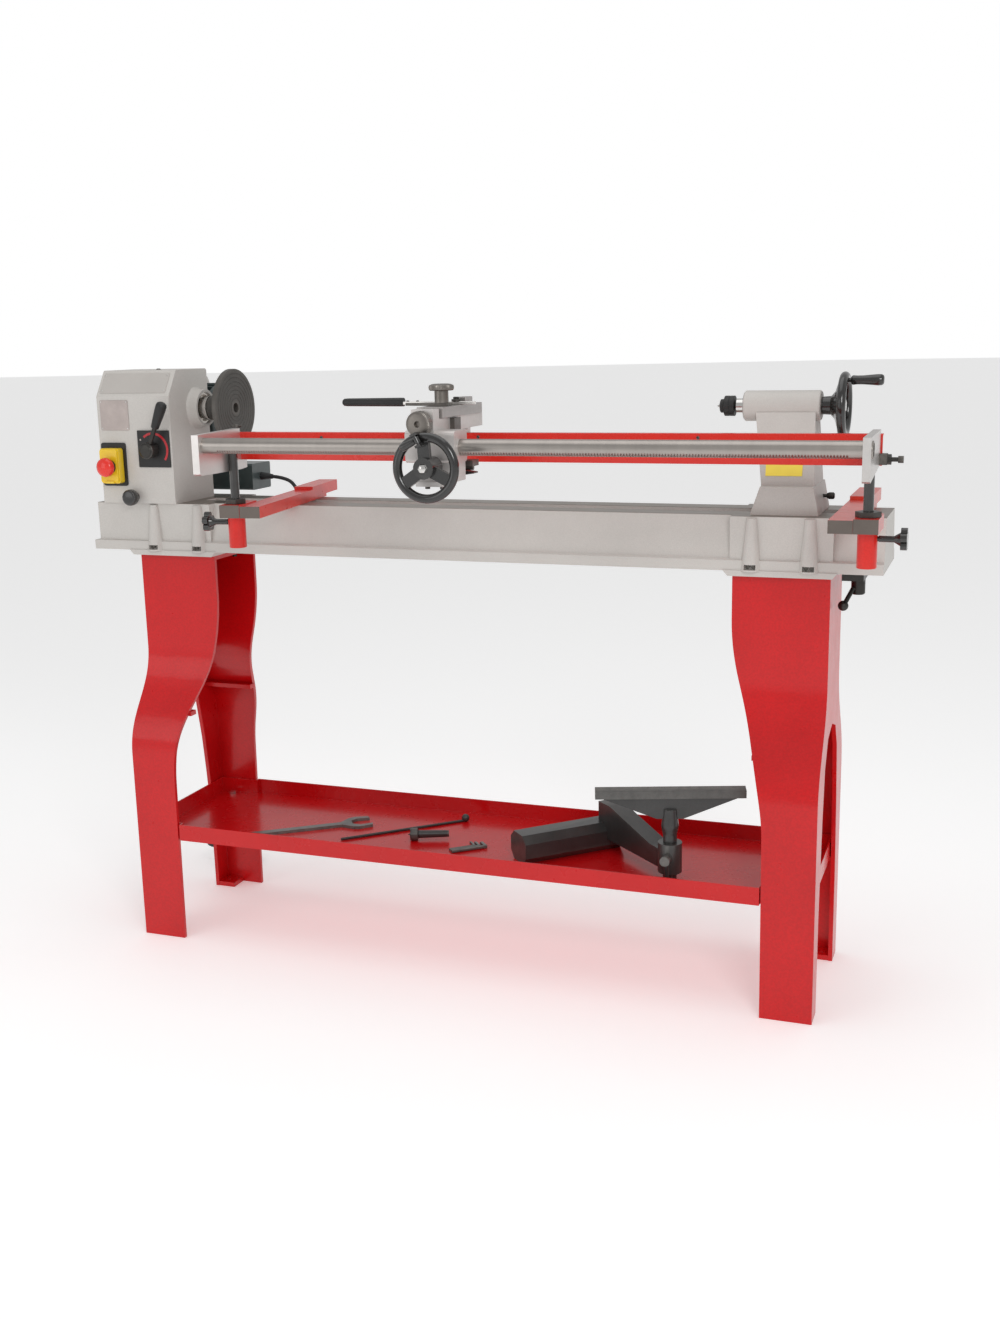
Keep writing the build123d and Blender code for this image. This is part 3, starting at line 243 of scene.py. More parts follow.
tool_iron = finish_material("tool_iron", (0.040, 0.039, 0.038), 0.33, metal=0.25, vary=0.2, vary_scale=22,
                            speckle=0.14, bumps=((60, 0.25, 0.4), (480, 0.35, 0.2)), coat=0.25, wear=1.0,
                            wear_colour=(0.26, 0.25, 0.23))
ground_steel = finish_material("ground_steel", (0.50, 0.46, 0.42), 0.24, metal=1.0, vary=0.10, vary_scale=30,
                               bumps=((500, 0.10, 0.06),), stretch=(0.08, 1, 1), wear=0.4,
                               wear_colour=(0.8, 0.78, 0.75))
tube_steel = finish_material("tube_steel", (0.38, 0.35, 0.325), 0.33, metal=1.0, vary=0.06, vary_scale=60,
                             bumps=((900, 0.14, 0.05),), stretch=(1, 0.12, 0.12), rough_vary=0.05)
chrome = finish_material("chrome", (0.66, 0.65, 0.63), 0.14, metal=1.0, vary=0.06, vary_scale=40,
                         bumps=((800, 0.06, 0.04),), rough_vary=0.05)
zinc = finish_material("zinc", (0.60, 0.59, 0.57), 0.30, metal=1.0, vary=0.14, vary_scale=70,
                       bumps=((500, 0.2, 0.1),))
aluminium = finish_material("aluminium", (0.66, 0.63, 0.61), 0.34, metal=0.85, vary=0.07, vary_scale=22,
                            speckle=0.04, bumps=((260, 0.18, 0.12), (900, 0.12, 0.05)), stretch=(1, 0.35, 1),
                            wear=0.7, wear_colour=(0.86, 0.85, 0.83))
carriage_alloy = finish_material("carriage_alloy", (0.60, 0.565, 0.545), 0.38, metal=0.35, vary=0.06, vary_scale=18,
                                 speckle=0.05, bumps=((120, 0.2, 0.2), (700, 0.2, 0.08)), wear=0.7,
                                 wear_colour=(0.85, 0.84, 0.82))
slide_iron = finish_material("slide_iron", (0.36, 0.335, 0.325), 0.36, metal=0.7, vary=0.08, vary_scale=30,
                             speckle=0.08, bumps=((420, 0.2, 0.1),), stretch=(1, 0.2, 1), wear=0.8,
                             wear_colour=(0.7, 0.68, 0.65))
motor_paint = finish_material("motor_paint", (0.030, 0.046, 0.046), 0.36, vary=0.15, vary_scale=20, speckle=0.08,
                              bumps=((70, 0.2, 0.4), (500, 0.25, 0.2)), coat=0.3, wear=0.5,
                              wear_colour=(0.12, 0.14, 0.14))
yellow_plastic = finish_material("yellow_plastic", (0.83, 0.56, 0.012), 0.32, vary=0.04, vary_scale=30,
                                 bumps=((500, 0.12, 0.08),), coat=0.2, wear=0.3, wear_colour=(0.95, 0.78, 0.25))
red_plastic = finish_material("red_plastic", (0.78, 0.022, 0.010), 0.26, vary=0.04, vary_scale=40,
                              bumps=((400, 0.08, 0.08),), coat=0.35)
bolts_mixed = finish_material("bolts_mixed", DARK_STEEL, 0.36, metal=0.8, vary=0.2, vary_scale=60,
                              bumps=((400, 0.2, 0.1),), masked=(low_part, (0.66, 0.65, 0.63), 0.22, 1.0))
name_plate = finish_material("name_plate", (0.52, 0.49, 0.46), 0.34, metal=0.2, vary=0.04, vary_scale=16,
                             bumps=((300, 0.03, 0.02),))
data_plate = finish_material("data_plate", (0.40, 0.345, 0.325), 0.32, metal=0.4, vary=0.12, vary_scale=30,
                             bumps=((300, 0.03, 0.02),))
knurled_steel = finish_material("knurled_steel", (0.19, 0.172, 0.155), 0.34, metal=0.85, vary=0.12, vary_scale=40,
                                bumps=((500, 0.15, 0.08),), wear=0.8, wear_colour=(0.55, 0.52, 0.48))
bright_bar = finish_material("bright_bar", (0.80, 0.78, 0.75), 0.28, metal=0.7, vary=0.06, vary_scale=30,
                             bumps=((500, 0.08, 0.05),), stretch=(0.1, 1, 1))
yellow_plate = finish_material("yellow_plate", (0.93, 0.74, 0.10), 0.42, vary=0.05, vary_scale=30,
                               bumps=((300, 0.08, 0.06),))
belt_rubber = finish_material("belt_rubber", (0.020, 0.020, 0.020), 0.68, vary=0.2, vary_scale=60,
                              bumps=((700, 0.4, 0.3),))
cord_sheath = finish_material("cord_sheath", (0.017, 0.017, 0.018), 0.44, vary=0.12, vary_scale=70,
                              bumps=((900, 0.22, 0.12),), specular=0.4)
arc_red = finish_material("arc_red", (0.46, 0.012, 0.020), 0.36, vary=0.06, vary_scale=60,
                          bumps=((500, 0.05, 0.05),))
seal_rubber = finish_material("seal_rubber", (0.012, 0.012, 0.012), 0.5, vary=0.15, vary_scale=80,
                              bumps=((600, 0.2, 0.1),))


# ---------------------------------------------------------------- mesh helpers

def place(name, bm, body, material, slot, sharp=32.0, bevel=0.0, segments=2):
    """Makes a piece from a bmesh in millimetres: bevelled, smooth shaded and riding on a body."""
    bmesh.ops.scale(bm, vec=(MM, MM, MM), verts=bm.verts)
    mesh = bpy.data.meshes.new(name)
    bmesh.ops.recalc_face_normals(bm, faces=bm.faces)
    bm.to_mesh(mesh)
    bm.free()
    piece = bpy.data.objects.new(name, mesh)
    bpy.context.scene.collection.objects.link(piece)
    mesh.polygons.foreach_set("use_smooth", [True] * len(mesh.polygons))
    mesh.set_sharp_from_angle(angle=math.radians(sharp))
    if bevel:
        modifier = piece.modifiers.new("edges", "BEVEL")
        modifier.width = bevel * MM
        modifier.segments = segments
        modifier.limit_method = "ANGLE"
        modifier.angle_limit = math.radians(40)
        weighted = piece.modifiers.new("normals", "WEIGHTED_NORMAL")
        weighted.keep_sharp = True
    mesh.materials.append(material)
    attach(piece, body)
    return piece


def axis_matrix(axis):
    """Rotation that takes local Z to the named axis."""
    return {"X": Matrix.Rotation(math.pi / 2, 4, "Y"), "Y": Matrix.Rotation(-math.pi / 2, 4, "X"),
            "Z": Matrix.Identity(4)}[axis]


def add_lathe(bm, profile, axis="Z", centre=(0, 0, 0), count=64, ripple=0.0, lobes=0, closed=False):
    """Turned shape from (distance along the axis, radius) points; ripple and lobes knurl its widest part.

    A closed profile is a whole section clear of the axis, for a piece with a bore."""
    turn = Matrix.Translation(centre) @ axis_matrix(axis)
    widest = max(radius for along, radius in profile)
    rings = []
    for along, radius in profile:
        if radius < 1e-6:
            rings.append([bm.verts.new(turn @ Vector((0, 0, along)))])
            continue
        ring = []
        wave = ripple if radius > 0.8 * widest else 0.0
        for i in range(count):
            angle = 2 * math.pi * i / count
            r = radius + wave * math.cos(lobes * angle)
            ring.append(bm.verts.new(turn @ Vector((r * math.cos(angle), r * math.sin(angle), along))))
        rings.append(ring)
    for a, b in zip(rings, rings[1:] + (rings[:1] if closed else [])):
        for i in range(count):
            j = (i + 1) % count
            if len(a) == 1 and len(b) == 1:
                continue
            if len(a) == 1:
                bm.faces.new((a[0], b[i], b[j]))
            elif len(b) == 1:
                bm.faces.new((a[i], b[0], a[j]))
            else:
                bm.faces.new((a[i], b[i], b[j], a[j]))
    for ring in (rings[0], rings[-1]):
        if len(ring) > 1 and not closed:
            bm.faces.new(ring)
    return bm


def add_box(bm, low, high, turn=None):
    """Box between two corners, optionally turned by a matrix."""
    size = [h - l for l, h in zip(low, high)]
    middle = [(h + l) / 2 for l, h in zip(low, high)]
    matrix = Matrix.Translation(middle) @ Matrix.Diagonal((*size, 1))
    made = bmesh.ops.create_cube(bm, size=1.0, matrix=matrix)
    if turn is not None:
        bmesh.ops.transform(bm, matrix=turn, verts=made["verts"])
    return bm


def add_prism(bm, outline, axis, start, end):
    """Straight prism: outline in the two other axes, in X, Y, Z order."""
    def point(u, v, w):
        return {"X": (w, u, v), "Y": (u, w, v), "Z": (u, v, w)}[axis]
    low = [bm.verts.new(point(u, v, start)) for u, v in outline]
    high = [bm.verts.new(point(u, v, end)) for u, v in outline]
    bm.faces.new(low)
    bm.faces.new(high)
    for i in range(len(outline)):
        j = (i + 1) % len(outline)
        bm.faces.new((low[i], low[j], high[j], high[i]))
    return bm


def add_tube(bm, line, radii, count=24):
    """Tube of varying radius along a line of points, closed at both ends."""
    rings = []
    side = None
    for i, point in enumerate(line):
        ahead = line[min(i + 1, len(line) - 1)] - line[max(i - 1, 0)]
        ahead.normalize()
        if side is None:
            side = ahead.orthogonal().normalized()
        side = (side - ahead * side.dot(ahead)).normalized()
        other = ahead.cross(side)
        rings.append([bm.verts.new(point + (side * math.cos(a) + other * math.sin(a)) * radii[i])
                      for a in (2 * math.pi * k / count for k in range(count))])
    for a, b in zip(rings, rings[1:]):
        for k in range(count):
            m = (k + 1) % count
            bm.faces.new((a[k], b[k], b[m], a[m]))
    bm.faces.new(rings[0])
    bm.faces.new(rings[-1])
    return bm


def softened(node, width, material, body, segments=2, angle=32.0):
    """Replaces a CAD node by the same shape with its long sharp edges rounded."""
    bm = bmesh.new()
    bm.from_mesh(nodes[node].data)
    bmesh.ops.remove_doubles(bm, verts=bm.verts, dist=2e-6)
    bmesh.ops.dissolve_limit(bm, angle_limit=math.radians(0.6), verts=bm.verts, edges=bm.edges)
    wide = width * MM
    sharp = {e for e in bm.edges if len(e.link_faces) == 2 and e.calc_face_angle(0.0) > math.radians(angle)}
    chosen = []
    for edge in sharp:
        others = [o for v in edge.verts for o in v.link_edges if o not in sharp]
        if all(o.calc_length() > 1.6 * wide for o in others) and edge.calc_length() > 0.4 * wide:
            chosen.append(edge)
    if chosen:
        bmesh.ops.bevel(bm, geom=chosen, offset=wide, offset_type="OFFSET", segments=segments, profile=0.5,
                        affect="EDGES", clamp_overlap=True)
    bmesh.ops.scale(bm, vec=(1 / MM, 1 / MM, 1 / MM), verts=bm.verts)
    piece = place(node + "_cast", bm, body, material, SLOTS[node], sharp=angle)
    weighted = piece.modifiers.new("normals", "WEIGHTED_NORMAL")
    weighted.keep_sharp = True
    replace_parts(piece, node)
    return piece


SLOTS = {row["node"]: row["material_slot"] for row in frame["record"]["subparts"]}
BODY_OF = {n: body for body, members in frame["record"]["behaviour"]["bodies"].items() for n in members}


# ---------------------------------------------------------------- camera

CAMERA_AT = Vector((0.9795, -2.5200, 1.1833))
YAW, PITCH, ROLL = math.radians(20.2), math.radians(12.6), math.radians(-1.2)


def camera_matrix():
    """Camera turned left by YAW, down by PITCH and rolled by ROLL."""
    ahead = Vector((-math.sin(YAW) * math.cos(PITCH), math.cos(YAW) * math.cos(PITCH), -math.sin(PITCH)))
    right = ahead.cross(Vector((0, 0, 1))).normalized()
    up = right.cross(ahead)
    right_rolled = right * math.cos(ROLL) + up * math.sin(ROLL)
    up_rolled = up * math.cos(ROLL) - right * math.sin(ROLL)
    matrix = Matrix((right_rolled, up_rolled, -ahead)).transposed().to_4x4()
    matrix.translation = CAMERA_AT
    return matrix


camera_data = bpy.data.cameras.new("camera")
camera_data.sensor_width = 36.0
camera_data.lens = 39.3
camera_data.clip_end = 60.0
camera = bpy.data.objects.new("camera", camera_data)
bpy.context.scene.collection.objects.link(camera)
camera.matrix_world = camera_matrix()
bpy.context.scene.camera = camera


# ---------------------------------------------------------------- mains lead

CORD_R = 3.75
CORD = [(-525, 150, 912), (-467, 150, 912), (-440, 150, 884), (-439, 150, 842), (-467, 148, 811), (-512, 144, 806),
        (-556, 140, 804), (-594, 144, 786), (-624, 162, 738), (-646, 186, 660), (-658, 200, 562), (-662, 205, 462),
        (-660, 204, 362), (-663, 207, 264), (-666, 208, 172), (-665, 207, 110), (-664, 212, 52), (-660, 236, 12),
        (-655, 266, 4.2)]
COIL_X, COIL_Y = -704.0, 262.0
COIL_OUT, COIL_IN = 45.3, 30.0
LAYERS = (4.1, 11.9)
TURNS, PER_TURN = 3, 20


def coil_points():
    """Three turns inwards on the floor and three outwards on top of them, then a small loop up to the plug."""
    points = []
    steps = TURNS * PER_TURN
    for i in range(2, steps + 1):
        share = i / steps
        radius = COIL_OUT + 3.0 * max(0.0, 1 - i / 6) + (COIL_IN - COIL_OUT) * share
        angle = math.radians(10) + 2 * math.pi * TURNS * share
        height = LAYERS[0] if i < steps - 3 else LAYERS[0] + (i - steps + 4) * 1.5
        points.append((COIL_X + radius * math.cos(angle), COIL_Y + radius * math.sin(angle), height))
    turn_back = int(PER_TURN * 0.2)
    for i in range(1, steps + turn_back + 1):
        share = i / steps
        radius = min(COIL_OUT, COIL_IN + (COIL_OUT - COIL_IN) * share)
        angle = math.radians(10) + 2 * math.pi * TURNS * share
        height = min(LAYERS[1], LAYERS[0] + 6.0 + i * 0.9)
        points.append((COIL_X + radius * math.cos(angle), COIL_Y + radius * math.sin(angle), height))
    points += [(-716, 311, 14), (-741, 321, 19)]
    for step in range(6):
        angle = math.radians(90 + 35 * step)
        points.append((-766 + 34 * math.cos(angle), 294 + 34 * math.sin(angle), min(32.2, 24 + 3 * step)))
    points += [(-752, 261.5, 32.2), (-738, 262, 32.2)]
    return points


route = CORD + coil_points()
cord_curve = bpy.data.curves.new("mains_cord_line", "CURVE")
cord_curve.dimensions = "3D"
spline = cord_curve.splines.new("NURBS")
spline.points.add(len(route) - 1)
for point, (x, y, z) in zip(spline.points, route):
    point.co = (x * MM, y * MM, z * MM, 1)
spline.order_u = 3
spline.use_endpoint_u = True
spline.resolution_u = 8
cord = bpy.data.objects.new("mains_lead", cord_curve)
bpy.context.scene.collection.objects.link(cord)
bpy.context.view_layer.update()
bare_line = bpy.data.meshes.new_from_object(cord)
line = [v.co.copy() / MM for v in bare_line.vertices]
cord_curve.bevel_depth = CORD_R * MM
cord_curve.bevel_resolution = 5
cord_curve.use_fill_caps = True
cord_curve.materials.append(cord_sheath)
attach(cord, "stand")
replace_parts(cord, "mains_cord", "cord_coil")


def strain_relief():
    """Tapered, ribbed sleeve on the first stretch of the lead."""
    reach, travelled = 34.0, 0.0
    stretch, radii = [line[0].copy()], [8.2]
    for a, b in zip(line, line[1:]):
        travelled += (b - a).length
        if travelled > reach:
            break
        rib = 0.7 if int(travelled / 3.4) % 2 else 0.0
        stretch.append(b.copy())
        radii.append(8.0 - 3.2 * travelled / reach - rib)
    return place("strain_relief", add_tube(bmesh.new(), stretch, radii), "stand", cord_sheath, "cord_rubber",
                 sharp=50)


def mains_plug():
    """Moulded body of the two-pin plug on the coil, with a ribbed neck."""
    at = (COIL_X - 34, COIL_Y, 32.2)
    bm = bmesh.new()
    neck = [(0, 4.6)]
    for i in range(5):
        neck += [(1.6 + 2.6 * i, 5.0 + 0.5 * i), (2.6 + 2.6 * i, 5.8 + 0.5 * i), (3.6 + 2.6 * i, 5.0 + 0.5 * i)]
    neck += [(16, 9), (20, 13.5), (25, 16), (40, 16.8), (43.5, 16.4), (45.6, 14.6), (46, 12)]
    add_lathe(bm, neck, "X", at, 48)
    return place("plug_body", bm, "stand", cord_sheath, "cord_rubber", sharp=45)


def plug_pins():
    """Two plated pins."""
    bm = bmesh.new()
    for side in (-9.5, 9.5):
        add_lathe(bm, [(45, 2.3), (62, 2.3), (63.6, 1.7), (64, 0.0)], "X", (COIL_X - 34, COIL_Y + side, 32.2), 20)
    return place("plug_pins", bm, "stand", chrome, "polished_steel", sharp=40)


relief = strain_relief()
plug = mains_plug()
pins = plug_pins()
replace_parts(plug, "mains_plug")


# ---------------------------------------------------------------- CAD nodes kept, or kept with rounded edges

ROUNDED = {"bed": (1.6, bed_paint), "headstock_housing": (2.0, grey_paint), "belt_cover": (1.6, grey_paint),
           "tailstock_body": (2.0, grey_paint), "left_leg": (1.6, red_paint), "right_leg": (1.6, red_paint),
           "tool_tray": (0.8, tray_paint), "left_arm": (1.0, arm_paint), "right_arm": (1.0, arm_paint),
           "end_plates": (1.0, aluminium), "template_rail": (0.7, rail_paint),
           "carriage_body": (0.9, carriage_alloy), "tool_slide": (0.8, slide_iron),
           "capacitor_box": (1.5, motor_paint), "banjo": (1.6, tool_iron),
           "tool_rest": (0.9, tool_iron), "collar_nuts": (0.8, dark_steel), "under_bed_lever": (0.8, dark_steel),
           "tail_handwheel": (0.8, black_enamel), "carriage_handwheel": (1.0, black_enamel),
           "left_socket_knob": (0.8, black_enamel), "right_socket_knob": (0.8, black_enamel),
           "folding_handle": (0.6, black_enamel), "motor_body": (0.7, motor_paint)}
KEPT = {"stand_bolts": bolts_mixed, "speed_lever": dark_steel, "spindle": chrome, "spindle_bearings": ground_steel,
        "spindle_pulley": dark_iron, "motor_pulley": dark_iron, "drive_belt": belt_rubber,
        "tailstock_clamp": dark_steel, "quill": chrome, "arm_clamps": dark_steel, "copier_posts": black_enamel,
        "template_screws": dark_steel, "stylus": dark_steel, "banjo_lever": tool_iron, "fork_wrench": tool_iron,
        "knockout_bar": tool_iron, "drive_centre": tool_iron, "hex_keys": tool_iron, "cutter": dark_steel,
        "tail_lock_screw": dark_steel}

for node, (width, material) in ROUNDED.items():
    softened(node, width, material, BODY_OF[node])
for node, material in KEPT.items():
    nodes[node].data.materials.clear()
    nodes[node].data.materials.append(material)


# ---------------------------------------------------------------- pieces made here in place of plain CAD nodes

def detail(name, node, bm, material, **shading):
    """Piece that rides on the body of a CAD node."""
    return place(name, bm, BODY_OF[node], material, SLOTS[node], **shading)


def rounded_rect(u0, u1, v0, v1, radius, steps=6):
    """Outline of a rectangle with round corners."""
    points = []
    corners = ((u1 - radius, v1 - radius), (u0 + radius, v1 - radius), (u0 + radius, v0 + radius),
               (u1 - radius, v0 + radius))
    for quarter, (u, v) in enumerate(corners):
        for i in range(steps + 1):
            angle = math.radians(90 * quarter + 90 * i / steps)
            points.append((u + radius * math.cos(angle), v + radius * math.sin(angle)))
    return points


def arc_band(u, v, inner, outer, start, end, steps=40):
    """Outline of a curved band about a centre, from one angle to another in degrees."""
    angles = [math.radians(start + (end - start) * i / steps) for i in range(steps + 1)]
    outside = [(u + outer * math.cos(a), v + outer * math.sin(a)) for a in angles]
    inside = [(u + inner * math.cos(a), v + inner * math.sin(a)) for a in reversed(angles)]
    return outside + inside


def add_screw(bm, axis, x, y, z, radius, height, direction):
    """Low domed screw head standing on a face; direction is +1 or -1 along the axis."""
    profile = [(0.0, radius), (height * 0.5 * direction, radius), (height * 0.9 * direction, radius * 0.7),
               (height * direction, radius * 0.35), (height * 0.45 * direction, radius * 0.3),
               (height * 0.45 * direction, 0.0)]
    return add_lathe(bm, profile, axis, (x, y, z), 20)


def head_plates():
    """Blank name plate on the slope, blank data plate on the front, and their rivets."""
    slope = Matrix.Translation((-662, -82, 1111.5)) @ Matrix.Rotation(math.atan2(49, 32), 4, "X")
    bm = add_prism(bmesh.new(), rounded_rect(-74, 74, -22, 22, 3), "Z", 0.05, 1.2)
    bmesh.ops.transform(bm, matrix=slope, verts=bm.verts)
    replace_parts(detail("name_plate", "label_plates", bm, name_plate, bevel=0.3), "label_plates")
    bm = add_prism(bmesh.new(), rounded_rect(-735, -671, 1022, 1080, 2.5), "Y", HEAD_FRONT - 1, HEAD_FRONT)
    detail("data_plate", "label_plates", bm, data_plate, bevel=0.25)
    bm = bmesh.new()
    for x in (-731.5, -674.5):
        for z in (1025.5, 1076.5):
            add_screw(bm, "Y", x, HEAD_FRONT - 1, z, 1.6, 0.9, -1)
    detail("data_plate_rivets", "label_plates", bm, zinc)
    bm = bmesh.new()
    for x in (-69, 69):
        for y in (-17, 17):
            add_screw(bm, "Z", x, y, 1.2, 1.6, 0.9, 1)
    bmesh.ops.transform(bm, matrix=slope, verts=bm.verts)
    detail("name_plate_rivets", "label_plates", bm, zinc)


def dial_and_switch():
    """Black dial with a red arc and a white dot, and the yellow switch on its plate."""
    bm = add_prism(bmesh.new(), rounded_rect(-653, -582, 951, 1022, 1.5), "Y", HEAD_FRONT - 3, HEAD_FRONT)
    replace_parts(detail("dial_plate", "control_plates", bm, seal_rubber, bevel=0.4), "control_plates")
    bm = add_prism(bmesh.new(), arc_band(-618, 985, 29, 33.5, -38, 130), "Y", HEAD_FRONT - 3.5, HEAD_FRONT - 2.9)
    detail("dial_arc", "control_plates", bm, arc_red)
    bm = add_lathe(bmesh.new(), [(HEAD_FRONT - 3.5, 0), (HEAD_FRONT - 3.4, 1.8), (HEAD_FRONT - 2.9, 1.9)], "Y",
                   (-646, 0, 1004), 20)
    detail("dial_dot", "control_plates", bm, data_plate)
    bm = add_prism(bmesh.new(), rounded_rect(-738, -682, 914, 998, 5), "Y", HEAD_FRONT - 3, HEAD_FRONT)
    detail("switch_plate", "control_plates", bm, seal_rubber, bevel=0.6)
    bm = add_prism(bmesh.new(), rounded_rect(-731, -688, 920, 988, 5), "Y", HEAD_FRONT - 19, HEAD_FRONT - 3)
    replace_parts(detail("switch_base", "switch_box", bm, yellow_plastic, bevel=0.8), "switch_box")
    bm = add_prism(bmesh.new(), rounded_rect(-729, -690, 922, 986, 4), "Y", HEAD_FRONT - 23, HEAD_FRONT - 18.6)
    add_box(bm, (-718, HEAD_FRONT - 26, 920.5), (-698, HEAD_FRONT - 18.8, 925))
    for x in (-731.5, -689.5):
        add_box(bm, (x, HEAD_FRONT - 21, 948), (x + 2, HEAD_FRONT - 12, 962))
    detail("switch_cover", "switch_box", bm, yellow_plastic, bevel=0.7)
    bm = add_lathe(bmesh.new(), [(HEAD_FRONT - 28, 9), (HEAD_FRONT - 28, 12.5), (HEAD_FRONT - 27, 13.2),
                                 (HEAD_FRONT - 22.5, 13.6), (HEAD_FRONT - 22.5, 9)], "Y", (BUTTON_X, 0, 953),
                   closed=True)
    detail("switch_collar", "switch_box", bm, seal_rubber)
    y = HEAD_FRONT - 23
    bm = add_lathe(bmesh.new(), [(y - 26, 0), (y - 25.6, 4), (y - 24.4, 9.5), (y - 22, 14.6), (y - 19, 17.6),
                                 (y - 16, 18.5), (y - 11.6, 18.5), (y - 10, 17.4), (y - 9, 13), (y - 9, 6),
                                 (y - 5.5, 6)], "Y", (BUTTON_X, 0, 953))
    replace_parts(detail("stop_mushroom", "stop_button", bm, red_plastic, sharp=45), "stop_button")


def head_controls():
    """Grip of the speed lever, index knob and the small screw on the housing's top."""
    y = HEAD_FRONT - 3
    foot = Vector((LEVER_X + 22, y - 19.5, 1028))
    tip = Vector((LEVER_X + 46, y - 24.5, 1076))
    profile = [(0, 4.6), (0.1, 7), (1.2, 7.7), (12, 8.6), (26, 9.7), (40, 10.5), (47, 10.4), (51, 9.2), (53.4, 6),
               (54, 1.5)]
    ahead = (tip - foot).normalized()
    bm = add_tube(bmesh.new(), [foot + ahead * along for along, radius in profile], [r for a, r in profile], 40)
    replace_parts(detail("lever_grip", "speed_lever_grip", bm, black_grip, sharp=50), "speed_lever_grip")
    y = HEAD_FRONT
    bm = add_lathe(bmesh.new(), [(y - 27, 0), (y - 27, 10), (y - 26.2, 13.4), (y - 24, 15.2), (y - 13, 15.5),
                                 (y - 11.2, 14.2), (y - 10, 9), (y - 0.4, 9), (y - 0.4, 5), (y + 24, 5)], "Y",
                   (-668, 0, 893), 120, 0.35, 30)
    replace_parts(detail("index_grip", "index_knob", bm, black_enamel, sharp=45), "index_knob")
    bm = add_screw(bmesh.new(), "Z", -640, -30, 1136, 4.5, 2.2, 1)
    detail("housing_screw", "headstock_housing", bm, dark_steel)


def spindle_nose():
    """Faceplate with turned rings on its face and a chamfered rim."""
    face = [(-489.0, 74.2)]
    for ring in (66, 58, 50, 42, 34, 26, 18):
        face += [(-489.0, ring + 0.9), (-489.6, ring + 0.3), (-489.6, ring - 0.3), (-489.0, ring - 0.9)]
    profile = [(-541.5, 16.6), (-542, 17.5), (-542, 23.2), (-541.2, 24), (-509, 24), (-504, 28), (-500, 34),
               (-499, 40), (-499, 74.2), (-498.2, 75), (-489.8, 75)]
    profile += face + [(-489, 9.6), (-500, 9.6), (-500, 16.6)]
    bm = add_lathe(bmesh.new(), profile, "X", (0, 0, SPINDLE_Z), 120, closed=True)
    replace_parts(detail("faceplate_disc", "faceplate", bm, dark_iron, sharp=35), "faceplate")


def tailstock_pieces():
    """Live centre with its bright point, crank handle, wheel nut and the blank yellow plate on the neck."""
    bm = add_lathe(bmesh.new(), [(471.2, 3), (471, 9.6), (472.2, 11.6), (476.8, 12), (478, 14), (479, 17),
                                 (480, 17.5), (487, 17.5), (487.5, 17), (488.5, 17), (489, 17.5), (496, 17.5),
                                 (496.6, 17), (496.6, 7), (546, 7)], "X", (0, 0, SPINDLE_Z), 72)
    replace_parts(detail("centre_head", "live_centre", bm, seal_rubber, sharp=35), "live_centre")
    bm = add_lathe(bmesh.new(), [(465, 0), (465.6, 0.8), (471.5, 4.4), (473, 4.4)], "X", (0, 0, SPINDLE_Z), 40)
    detail("centre_point", "live_centre", bm, chrome)
    bm = add_lathe(bmesh.new(), [(742.5, 0), (742.5, 3.6), (692, 3.6), (692, 5), (693, 6.8), (695, 8), (703, 7.5),
                                 (712, 7.6), (724, 8.6), (736, 9.5), (742, 9.3), (745, 7.6), (746, 5), (746, 0)],
                   "X", (0, 0, SPINDLE_Z + 42), 48)
    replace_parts(detail("crank_grip", "tail_crank_handle", bm, black_enamel, sharp=50), "tail_crank_handle")
    bm = add_lathe(bmesh.new(), [(675.8, 9.8), (684, 9.8), (685, 8.8), (685, 0)], "X", (0, 0, SPINDLE_Z), 6)
    detail("tail_wheel_nut", "tail_handwheel", bm, chrome, bevel=0.5)
    lean = Matrix.Translation((591, -50.7, 955)) @ Matrix.Rotation(-math.atan2(32, 124), 4, "X")
    bm = add_box(bmesh.new(), (-31, -0.9, -10.5), (31, 0.2, 10.5), lean)
    detail("tailstock_plate", "tailstock_body", bm, yellow_plate, bevel=0.3)


RACK_FROM, RACK_TO, RACK_PITCH = -330.0, 735.0, 4.7
RACK_ANGLE = math.radians(-118)     # about the tube's axis, from +Y towards +Z
RACK_DEPTH = 2.0
TUBE_WALL = 3.0


def racked_tube():
    """Guide tube with rack teeth cut along its lower front."""
    x0, x1, count = -376.0, 766.0, 72
    stations = [(x0, False), (x0 + 0.8, False), (RACK_FROM - 0.5, False)]
    teeth = int((RACK_TO - RACK_FROM) / RACK_PITCH)
    for i in range(teeth):
        x = RACK_FROM + i * RACK_PITCH
        stations += [(x, False), (x + 1.0, True), (x + 2.2, True), (x + 3.2, False)]
    stations += [(x1 - 0.8, False), (x1, False)]
    bm = bmesh.new()
    rings = []
    for x, cut in stations:
        edge = TUBE_R - 0.6 if x in (x0, x1) else TUBE_R
        ring = []
        for k in range(count):
            angle = 2 * math.pi * k / count
            y, z = edge * math.cos(angle), edge * math.sin(angle)
            depth = y * math.cos(RACK_ANGLE) + z * math.sin(RACK_ANGLE)
            if cut and depth > TUBE_R - RACK_DEPTH:
                y -= (depth - TUBE_R + RACK_DEPTH) * math.cos(RACK_ANGLE)
                z -= (depth - TUBE_R + RACK_DEPTH) * math.sin(RACK_ANGLE)
            ring.append(bm.verts.new((x, TUBE_Y + y, TUBE_Z + z)))
        rings.append(ring)
    for x in (x1, x0):
        bore = TUBE_R - TUBE_WALL
        rings.append([bm.verts.new((x, TUBE_Y + bore * math.cos(2 * math.pi * k / count),
                                    TUBE_Z + bore * math.sin(2 * math.pi * k / count)))
                      for k in range(count)])
    for a, b in zip(rings, rings[1:] + rings[:1]):
        for k in range(count):
            m = (k + 1) % count
            bm.faces.new((a[k], b[k], b[m], a[m]))
    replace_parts(detail("rack_tube", "guide_tube", bm, tube_steel, sharp=28), "guide_tube")


